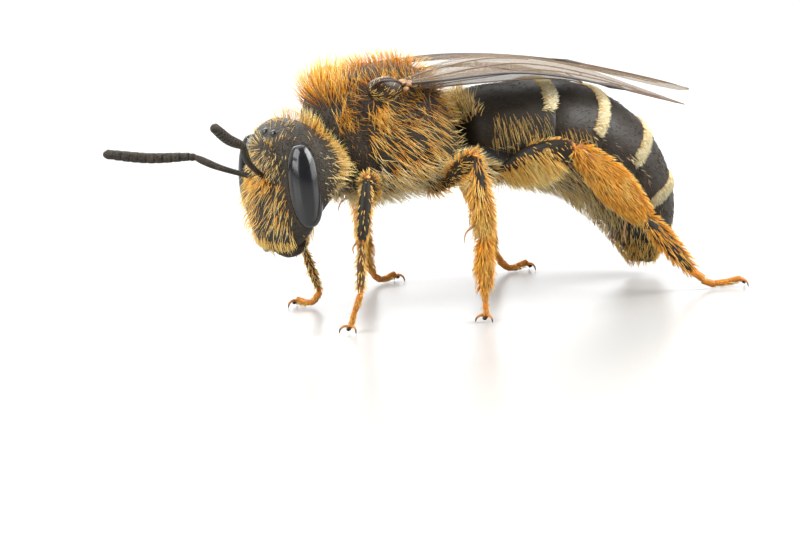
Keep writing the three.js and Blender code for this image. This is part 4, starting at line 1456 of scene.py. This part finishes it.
class BEE_OT_body_coat(Piece, bpy.types.Operator):
    """Hair of the middle body"""

    bl_idname = "bee.body_coat"
    bl_label = "Body coat"

    def execute(self, context):
        shell = thorax_shell()
        coat_object("back_coat", [self.back(shell)])
        scales = [self.on_scale(side) for side in (1, -1)]
        coat_object("collar_coat", [self.collar(shell), self.tufts(shell), self.neck(shell)])
        coat_object("scale_coat", scales)
        coat_object("flank_coat", [self.flanks(shell)])
        coat_object("chest_coat", [self.chest(shell), self.rear(shell)])
        return {"FINISHED"}

    def bare_patch(self, p):
        """1 where the shell shows between the collar and the side plates."""
        return near(mirror_x(p), [1.1, -1.45, 3.5], [0.5, 0.42, 0.75])

    def back(self, shell):
        def density(p, n, around, along):
            front = 1 - near(p, [-0.1, -1.86, 4.6], [0.3, 0.3, 0.16])
            thin = 1 - 0.5 * ramp(p[:, 1], -0.8, -1.5)
            ends = ramp(p[:, 1], 0.95, 0.7) * ramp(p[:, 1], -1.9, -1.6)
            return ramp(n[:, 2], 0.05, 0.4) * ends * front * thin

        roots = Roots(shell, 1500, 31, density)
        p = roots.points
        rear = ramp(p[:, 1], 0.1, 0.7)
        ahead = ramp(p[:, 1], -1.2, -1.7)
        side = ramp(np.abs(roots.normals[:, 0]), 0.5, 0.9)
        lie = roots.lying(field(0.25 * sideways(p), -0.5 * (1 - ahead) + 1.6 * rear, 0.2 + 0.8 * ahead))
        tone = 0.64 + 0.07 * ripple(p, 0.6, 7) + 0.1 * ahead
        length = 0.42 + 0.04 * rear + 0.2 * ahead
        return strands(roots, lie, length, 74 - 34 * side, 0.2, tone, 0.43, 0.28, root_shade=0.55)

    def collar(self, shell):
        def density(p, n, around, along):
            front = 1 - near(p, [-0.1, -1.86, 4.6], [0.3, 0.3, 0.16])
            return ramp(p[:, 1], -1.1, -1.5) * ramp(p[:, 2], 4.4, 4.58) * front

        roots = Roots(shell, 360, 32, density)
        lie = roots.lying(field(0.3 * sideways(roots.points), -0.2, 1.0))
        low = ramp(roots.points[:, 2], 4.65, 4.4)
        tone = 0.72 + 0.07 * ripple(roots.points, 0.6, 8) - 0.2 * low
        return strands(roots, lie, 0.74 - 0.48 * low, 60, 0.2, tone, 0.4, 0.3, root_shade=0.5)

    def tufts(self, shell):
        def density(p, n, around, along):
            return near(mirror_x(p), [1.15, -0.86, 4.36], [0.34, 0.3, 0.4])

        roots = Roots(shell, 200, 33, density)
        lie = roots.lying(field(0, 0.45, -1.0))
        return strands(roots, lie, 0.32, 34, 0.4, 0.56, 0.62, 0.4)

    def neck(self, shell):
        """Thin brown hair below the collar, over the bare plates."""
        def density(p, n, around, along):
            beside = near(mirror_x(p), [1.0, -1.65, 4.3], [0.34, 0.4, 0.42])
            return beside + 0.1 * ramp(n[:, 2], -0.4, 0.0) * self.bare_patch(p)

        roots = Roots(shell, 240, 39, density)
        lie = roots.lying(field(0, 0.7, -1.0))
        high = ramp(roots.points[:, 2], 3.9, 4.3)
        return strands(roots, lie, 0.16 + 0.12 * high, 26 + 8 * high, 0.4, 0.22 + 0.26 * high, 0.42, 0.4)

    def on_scale(self, side):
        """Short hair over the front and the lower edge of a wing scale."""
        across, aft, up = TEGULA["half"]
        centre = np.array(TEGULA["centre"]) * [side, 1, 1]
        shell = limb_shell(centre - [0, aft, 0], centre + [0, aft, 0], [0.6 * up, up, 0.6 * up], across / up,
                           (1, 0, 0), (0, 0, 0), 0.5)

        def density(p, n, around, along):
            return ramp(side * n[:, 0], -0.2, 0.3) * (0.15 + ramp(-n[:, 2], 0.1, 0.6) + ramp(-n[:, 1], 0.2, 0.6))

        roots = Roots(shell, 80, 37 if side > 0 else 38, density)
        lie = roots.lying(field(0.2 * side, 0.5, 0.6))
        patch = (0.0, 0.0, 0.5, 1.0) if side > 0 else (0.5, 0.0, 1.0, 1.0)
        return strands(roots, lie, 0.2, 16, 0.4, 0.76, 0.5, 0.3, patch=patch, root_shade=0.2)

    def flanks(self, shell):
        def density(p, n, around, along):
            side = ramp(np.abs(n[:, 0]), 0.3, 0.6)
            ends = ramp(p[:, 1], 0.72, 0.5) * ramp(p[:, 2], 4.7, 4.35)
            high = 1 - 0.75 * near(mirror_x(p), [1.15, -0.1, 4.4], [0.5, 0.75, 0.45])
            return side * high * (1 - 0.97 * self.bare_patch(p)) * ramp(p[:, 1], -1.3, -0.95) * ends

        roots = Roots(shell, 860, 34, density)
        p = roots.points
        lie = roots.lying(field(0, 0.8, -0.75 + 0.3 * ramp(p[:, 2], 3.2, 2.7)))
        tone = 0.78 + 0.07 * ripple(p, 0.5, 9) - 0.14 * near(mirror_x(p), [1.3, -0.6, 3.5], [0.8, 0.6, 0.6])
        return strands(roots, lie, 0.46, 24, 0.35, tone, 0.62, 0.17, root_shade=0.25, loose=0.6)

    def chest(self, shell):
        def density(p, n, around, along):
            return ramp(-n[:, 2], 0.1, 0.5) * ramp(p[:, 1], -1.6, -1.2)

        roots = Roots(shell, 1300, 35, density)
        lie = roots.lying(field(0.3 * sideways(roots.points), 0.8, -0.4))
        return strands(roots, lie, 0.42, 46, 0.2, 0.92, 0.56, 0.35)

    def rear(self, shell):
        def density(p, n, around, along):
            return ramp(p[:, 1], 0.6, 0.85) * (0.12 + ramp(p[:, 2], 4.1, 4.5))

        roots = Roots(shell, 300, 36, density)
        lie = roots.lying(field(0.5 * sideways(roots.points), 1.0, 0.1))
        tone = 0.82 + 0.05 * ripple(roots.points, 0.4, 10)
        return strands(roots, lie, 0.3, 48, 0.2, tone, 0.75, 0.4)


class BEE_OT_abdomen_coat(Piece, bpy.types.Operator):
    """Cream bands, fine pile, belly brush and tail hair of the abdomen"""

    bl_idname = "bee.abdomen_coat"
    bl_label = "Abdomen coat"

    def execute(self, context):
        shell = abdomen_shell()
        coat_object("band_coat", [self.band(shell, number) for number in range(4)])
        coat_object("pile_coat", [self.pile(shell), self.base(shell), self.sides(shell)])
        coat_object("belly_coat", [self.belly(shell), self.tail(shell)])
        return {"FINISHED"}

    @staticmethod
    def row_of(along):
        """The row of ABDOMEN at a place along the coat's shell."""
        return 0.15 + 7.8 * along

    def band(self, shell, number):
        """A cream band on the rear edge of one ring, wider at its lower ends."""
        end = RING_ENDS[number + 1]

        def density(p, n, around, along):
            row = self.row_of(along)
            height = np.sin(2 * math.pi * around)
            wide = 0.1 + 0.05 * ramp(height, 0.5, -0.1)
            back, lean = [(0.03, 0.3), (0.05, 0.2), (0.02, 0.15), (0.0, 0.1)][number]
            edge = end - back + lean * (height - 0.7)
            inside = ramp(row, edge - wide - 0.06, edge - wide) * ramp(row, edge + 0.06, edge + 0.01)
            middle = 0.75 + 0.25 * ramp(height, 0.97, 0.8)
            low = [0.56, 0.2, 0.02, -0.18][number] + 0.1 * ripple(p, 0.12, 16)
            return inside * ramp(height, low - 0.04, low + 0.08) * middle

        roots = Roots(shell, 4600, 41 + number, density)
        lie = roots.lying(roots.down + field(0.25 * sideways(roots.points), 0, -0.2))
        tone = 0.97 + 0.02 * ripple(roots.points, 0.3, 12)
        return strands(roots, lie, 0.13, 26, 0.6, tone, 1.0, 0.35, 2)

    def pile(self, shell):
        def density(p, n, around, along):
            return ramp(np.sin(2 * math.pi * around), -0.45, -0.3) * (0.4 + 0.6 * ramp(n[:, 2], 0.6, 0.1))

        roots = Roots(shell, 4200, 51, density)
        lie = roots.lying(roots.down)
        low = ramp(np.sin(2 * math.pi * roots.around), 0.35, -0.2)
        pale = roots.rng.random(roots.count) < 0.1 * low
        return strands(roots, lie, 0.08 + 0.1 * low, 12 + 8 * low, 0.4, np.where(pale, 0.86, -0.2), 0.3, 0.3, 2)

    def base(self, shell):
        def density(p, n, around, along):
            return ramp(self.row_of(along), 1.1, 0.8) * ramp(np.sin(2 * math.pi * around), 0.45, 0.75)

        roots = Roots(shell, 500, 52, density)
        lie = roots.lying(roots.down + [0, -0.3, 0.4])
        return strands(roots, lie, 0.3, 60, 0.3, 0.84, 0.75, 0.5)

    def sides(self, shell):
        """Pale hair that hangs down the flanks of the first two rings."""
        def density(p, n, around, along):
            row, height = self.row_of(along), np.sin(2 * math.pi * around)
            first = ramp(row, 1.1, 1.4) * ramp(row, 2.45, 2.3) * ramp(height, 0.6, 0.45)
            second = ramp(row, 2.5, 2.7) * ramp(row, 3.6, 3.4) * ramp(height, 0.25, 0.1)
            return (first + second) * ramp(height, -0.3, -0.1)

        roots = Roots(shell, 420, 55, density)
        lie = roots.lying([0, 0.12, -1])
        return strands(roots, lie, 0.3, 9, 0.4, 0.66, 0.28, 0.07, loose=0.35)

    def belly(self, shell):
        def density(p, n, around, along):
            return ramp(np.sin(2 * math.pi * around), -0.25, -0.55) * ramp(self.row_of(along), 1.6, 2.4)

        roots = Roots(shell, 2400, 53, density)
        lie = roots.lying(roots.down)
        row = self.row_of(roots.along)
        share = 0.35 + 0.5 * ramp(-roots.normals[:, 2], 0.4, 0.9) + 0.3 * ramp(row, 4.5, 6.5)
        pale = roots.rng.random(roots.count) < share
        tone = np.where(pale, 0.84 - 0.14 * ramp(row, 6.0, 7.6), 0.05)
        return strands(roots, lie, 0.38 - 0.22 * ramp(row, 5.0, 7.2), 38, 0.15, tone, 0.5, 0.3, loose=0.6)

    def tail(self, shell):
        def density(p, n, around, along):
            return ramp(self.row_of(along), 6.8, 7.5)

        roots = Roots(shell, 700, 54, density)
        lie = roots.lying(roots.down)
        return strands(roots, lie, 0.2, 20, 0.3, 0.66 + 0.1 * ripple(roots.points, 0.3, 14), 0.6, 0.25)


# Leg hair, joint by joint: [hairs, length, lift, tone, how bare the outer face is].
LEG_COATS = {
    "front": {"coxa": [120, 0.24, 40, 0.8, 0.0], "femur": [260, 0.22, 32, 0.74, 0.6],
              "tibia": [320, 0.15, 30, 0.76, 0.9], "basitarsus": [240, 0.15, 32, 0.74, 0.7]},
    "middle": {"coxa": [160, 0.26, 40, 0.78, 0.0], "femur": [340, 0.26, 30, 0.74, 0.5],
               "tibia": [820, 0.33, 26, 0.68, 0.3], "basitarsus": [860, 0.29, 28, 0.6, 0.1]},
    "hind": {"coxa": [520, 0.3, 34, 0.92, 0.0], "femur": [1000, 0.32, 28, 0.68, 0.0],
             "tibia": [2300, 0.25, 15, 0.57, 0.0], "basitarsus": [900, 0.25, 20, 0.56, 0.8]},
}
FAR_SHARE = 0.75  # hairs of the right legs over those of the left


class BEE_OT_leg_coat(Piece, bpy.types.Operator):
    """Hair of the legs, lying down along each joint"""

    bl_idname = "bee.leg_coat"
    bl_label = "Leg coat"

    def execute(self, context):
        for index, name in enumerate(LEGS):
            groups = []
            for column, (joint, shell) in enumerate(leg_shells(name).items()):
                patch = (column / 6, 0.0, (column + 1) / 6, 1.0)
                groups.append(self.joint(name, joint, shell, 60 + 5 * index + column, patch))
            route = foot_route(name)[0]
            for column, (start, end) in enumerate(((route[0], route[1]), (route[1], route[-1])), 4):
                patch = (column / 6, 0.0, (column + 1) / 6, 1.0)
                groups.append(self.foot(start, end, 90 + 5 * index + column, patch))
            coat_object(f"{name}_coat", groups)
        return {"FINISHED"}

    def foot(self, start, end, seed, patch):
        def density(p, n, around, along):
            return 0.4 + ramp(n[:, 2], 0.2, -0.4)

        roots = Roots(limb_shell(start, end, [0.055, 0.06, 0.045]), 110, seed, density)
        lie = roots.lying(roots.down + np.array([0, 0, -0.2]))
        return strands(roots, lie, 0.11, 34, 0.3, 0.62, 0.55, 0.25, 2, patch)

    def joint(self, name, joint, shell, seed, patch):
        side, pair = name.split("_")
        count, length, lift, tone, bare = LEG_COATS[pair][joint]
        outward = unit(np.array([1.0 if side == "left" else -1.0, -0.45, 0.1]))

        def density(p, n, around, along):
            outer = ramp(n @ outward, 0.35, 0.8)
            cover = 1 - bare * outer
            if pair == "hind" and joint == "femur":
                mid = ramp(along, 0.72, 0.58)
                cover = 0.06 + mid * ramp(n[:, 2], 0.55, -0.05) + ramp(along, 0.8, 0.92)
                cover += 0.9 * ramp(n[:, 2], 0.82, 0.96)
            if pair == "middle" and joint == "tibia":
                cover *= 0.14 + 0.86 * ramp(along, 0.25, 0.7)
            return cover * ramp(along, 0.02, 0.08) * ramp(along, 1.0, 0.97)

        roots = Roots(shell, count * (1 if side == "left" else FAR_SHARE), seed, density)
        n = roots.normals
        drop = np.array([0, 0, -0.3])
        if pair == "hind" and joint == "femur":
            drop = np.array([0, 0.2, -1.6])
            length = length * (0.55 + 0.9 * ramp(n[:, 2], 0.4, -0.4)) * (1 - 0.55 * ramp(roots.along, 0.5, 0.9))
            lift = lift + 20 * ramp(n[:, 2], 0.2, -0.5)
        edge = 1 - ramp(np.abs(n @ outward), 0.3, 0.8)
        tones = tone + 0.05 * ripple(roots.points, 0.4, 15) - 0.1 * ramp(roots.along, 0.7, 0.98)
        if pair == "middle":
            tones = tones - 0.08 * edge
        if pair == "hind" and joint == "femur":
            tones = tones + 0.1 * ramp(n[:, 2], 0.3, -0.5) - 0.16 * ramp(roots.along, 0.7, 0.9)
        ends = 1 - 0.35 * ramp(roots.along, 0.85, 1.0)
        lie = roots.lying(roots.down + drop)
        lift = lift + 17 * edge
        return strands(roots, lie, length * ends, lift, 0.35, tones, 0.8, 0.07, patch=patch, root_shade=0.06, loose=0.45)


# ---------------------------------------------------------------- studio

class BEE_OT_studio(Piece, bpy.types.Operator):
    """Camera, floor and lights"""

    bl_idname = "bee.studio"
    bl_label = "Studio"

    def execute(self, context):
        self.camera(context)
        self.floor()
        self.lights(context)
        self.sky(context)
        context.scene.view_settings.view_transform = "Standard"
        return {"FINISHED"}

    def camera(self, context):
        view = context.scene.bee_studio
        ahead, rise, roll = view.heading, view.elevation, view.roll
        side = Vector((math.sin(ahead), math.cos(ahead), 0))
        look = Vector((-math.cos(ahead) * math.cos(rise), math.sin(ahead) * math.cos(rise), -math.sin(rise)))
        upright = side.cross(look)
        right = side * math.cos(roll) - upright * math.sin(roll)
        top = upright * math.cos(roll) + side * math.sin(roll)
        target = Vector(place([[0, 0, 0.9]])[0])
        camera = bpy.data.objects.new("camera", bpy.data.cameras.new("camera"))
        context.scene.collection.objects.link(camera)
        axes = Matrix((right, top, -look)).transposed().to_4x4()
        camera.matrix_world = Matrix.Translation(target - look * view.distance) @ axes
        camera.data.sensor_width = 36.0
        camera.data.lens = 36.0 * view.distance / view.view_width
        camera.data.clip_start = 0.005
        camera.data.clip_end = 10.0
        context.scene.camera = camera

    def floor(self):
        reach = 3.0
        mesh = bpy.data.meshes.new("floor")
        mesh.from_pydata([(-reach, -reach, 0), (reach, -reach, 0), (reach, reach, 0), (-reach, reach, 0)], [],
                         [(0, 1, 2, 3)])
        floor = bpy.data.objects.new("floor", mesh)
        bpy.context.scene.collection.objects.link(floor)
        mesh.materials.append(STYLES["floor"])
        floor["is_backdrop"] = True

    def lights(self, context):
        key = context.scene.bee_studio.key
        low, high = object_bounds()
        target = (low + high) / 2
        # [name, place from the bee in mm, width in mm, height in mm, share of the key light]
        for name, spot, wide, tall, share in (
            ("overhead", (-50, 10, 145), 150, 110, 0.5),
            ("front_box", (8, -125, 85), 150, 160, 2.7),
            ("rear_box", (80, 110, 105), 130, 120, 3.2),
            ("back_box", (-160, 40, 90), 140, 90, 1.2),
            ("low_box", (70, 115, 22), 140, 36, 0.35),
        ):
            lamp = bpy.data.lights.new(name, "AREA")
            lamp.shape = "RECTANGLE"
            lamp.size, lamp.size_y = wide * MM, tall * MM
            lamp.energy = key * share
            light = bpy.data.objects.new(name, lamp)
            light.location = target + Vector(spot) * MM
            light.rotation_euler = (target - light.location).to_track_quat("-Z", "Y").to_euler()
            context.scene.collection.objects.link(light)

    def sky(self, context):
        """A pale surround behind the bee and a dim room round the camera."""
        view = context.scene.bee_studio
        world = bpy.data.worlds.new("surround")
        context.scene.world = world
        world.use_nodes = True
        nodes, link = world.node_tree.nodes, world.node_tree.links.new
        where = nodes.new("ShaderNodeTexCoord")
        away = nodes.new("ShaderNodeVectorMath")
        away.operation = "DOT_PRODUCT"
        away.inputs[1].default_value = (-math.cos(view.heading), math.sin(view.heading), 0.55)
        shade = nodes.new("ShaderNodeValToRGB")
        shade.color_ramp.interpolation = "EASE"
        shade.color_ramp.elements[0].position, shade.color_ramp.elements[1].position = 0.0, 0.55
        shade.color_ramp.elements[0].color = (0.17, 0.17, 0.17, 1)
        shade.color_ramp.elements[1].color = (1, 1, 1, 1)
        background = nodes["Background"]
        background.inputs["Strength"].default_value = view.sky
        link(where.outputs["Generated"], away.inputs[0])
        link(away.outputs["Value"], shade.inputs["Fac"])
        link(shade.outputs["Color"], background.inputs["Color"])


# ---------------------------------------------------------------- the add-on

PIECES = (BEE_OT_skin, BEE_OT_eyes, BEE_OT_mouth, BEE_OT_feelers, BEE_OT_abdomen, BEE_OT_wings, BEE_OT_legs,
          BEE_OT_head_coat, BEE_OT_body_coat, BEE_OT_abdomen_coat, BEE_OT_leg_coat, BEE_OT_studio)


class BEE_PT_panel(bpy.types.Panel):
    """Lists the settings and the pieces"""

    bl_idname = "BEE_PT_panel"
    bl_label = "Furrow bee"
    bl_space_type = "VIEW_3D"
    bl_region_type = "UI"
    bl_category = "Bee"

    def draw(self, context):
        scene = context.scene
        for group in (scene.bee_sizes, scene.bee_colours, scene.bee_studio):
            box = self.layout.box()
            for key in group.bl_rna.properties.keys():
                if key not in ("rna_type", "name"):
                    box.prop(group, key)
        for piece in PIECES:
            self.layout.operator(piece.bl_idname)


SETTINGS = {"bee_sizes": BeeSizes, "bee_colours": BeeColours, "bee_studio": BeeStudio}


def register():
    for kind in (*SETTINGS.values(), *PIECES, BEE_PT_panel):
        bpy.utils.register_class(kind)
    for name, kind in SETTINGS.items():
        setattr(bpy.types.Scene, name, PointerProperty(type=kind))


def unregister():
    for name in SETTINGS:
        delattr(bpy.types.Scene, name)
    for kind in reversed((*SETTINGS.values(), *PIECES, BEE_PT_panel)):
        bpy.utils.unregister_class(kind)


def main():
    register()
    make_styles()
    for piece in PIECES:
        group, action = piece.bl_idname.split(".")
        getattr(getattr(bpy.ops, group), action)()


if __name__ == "__main__":
    main()
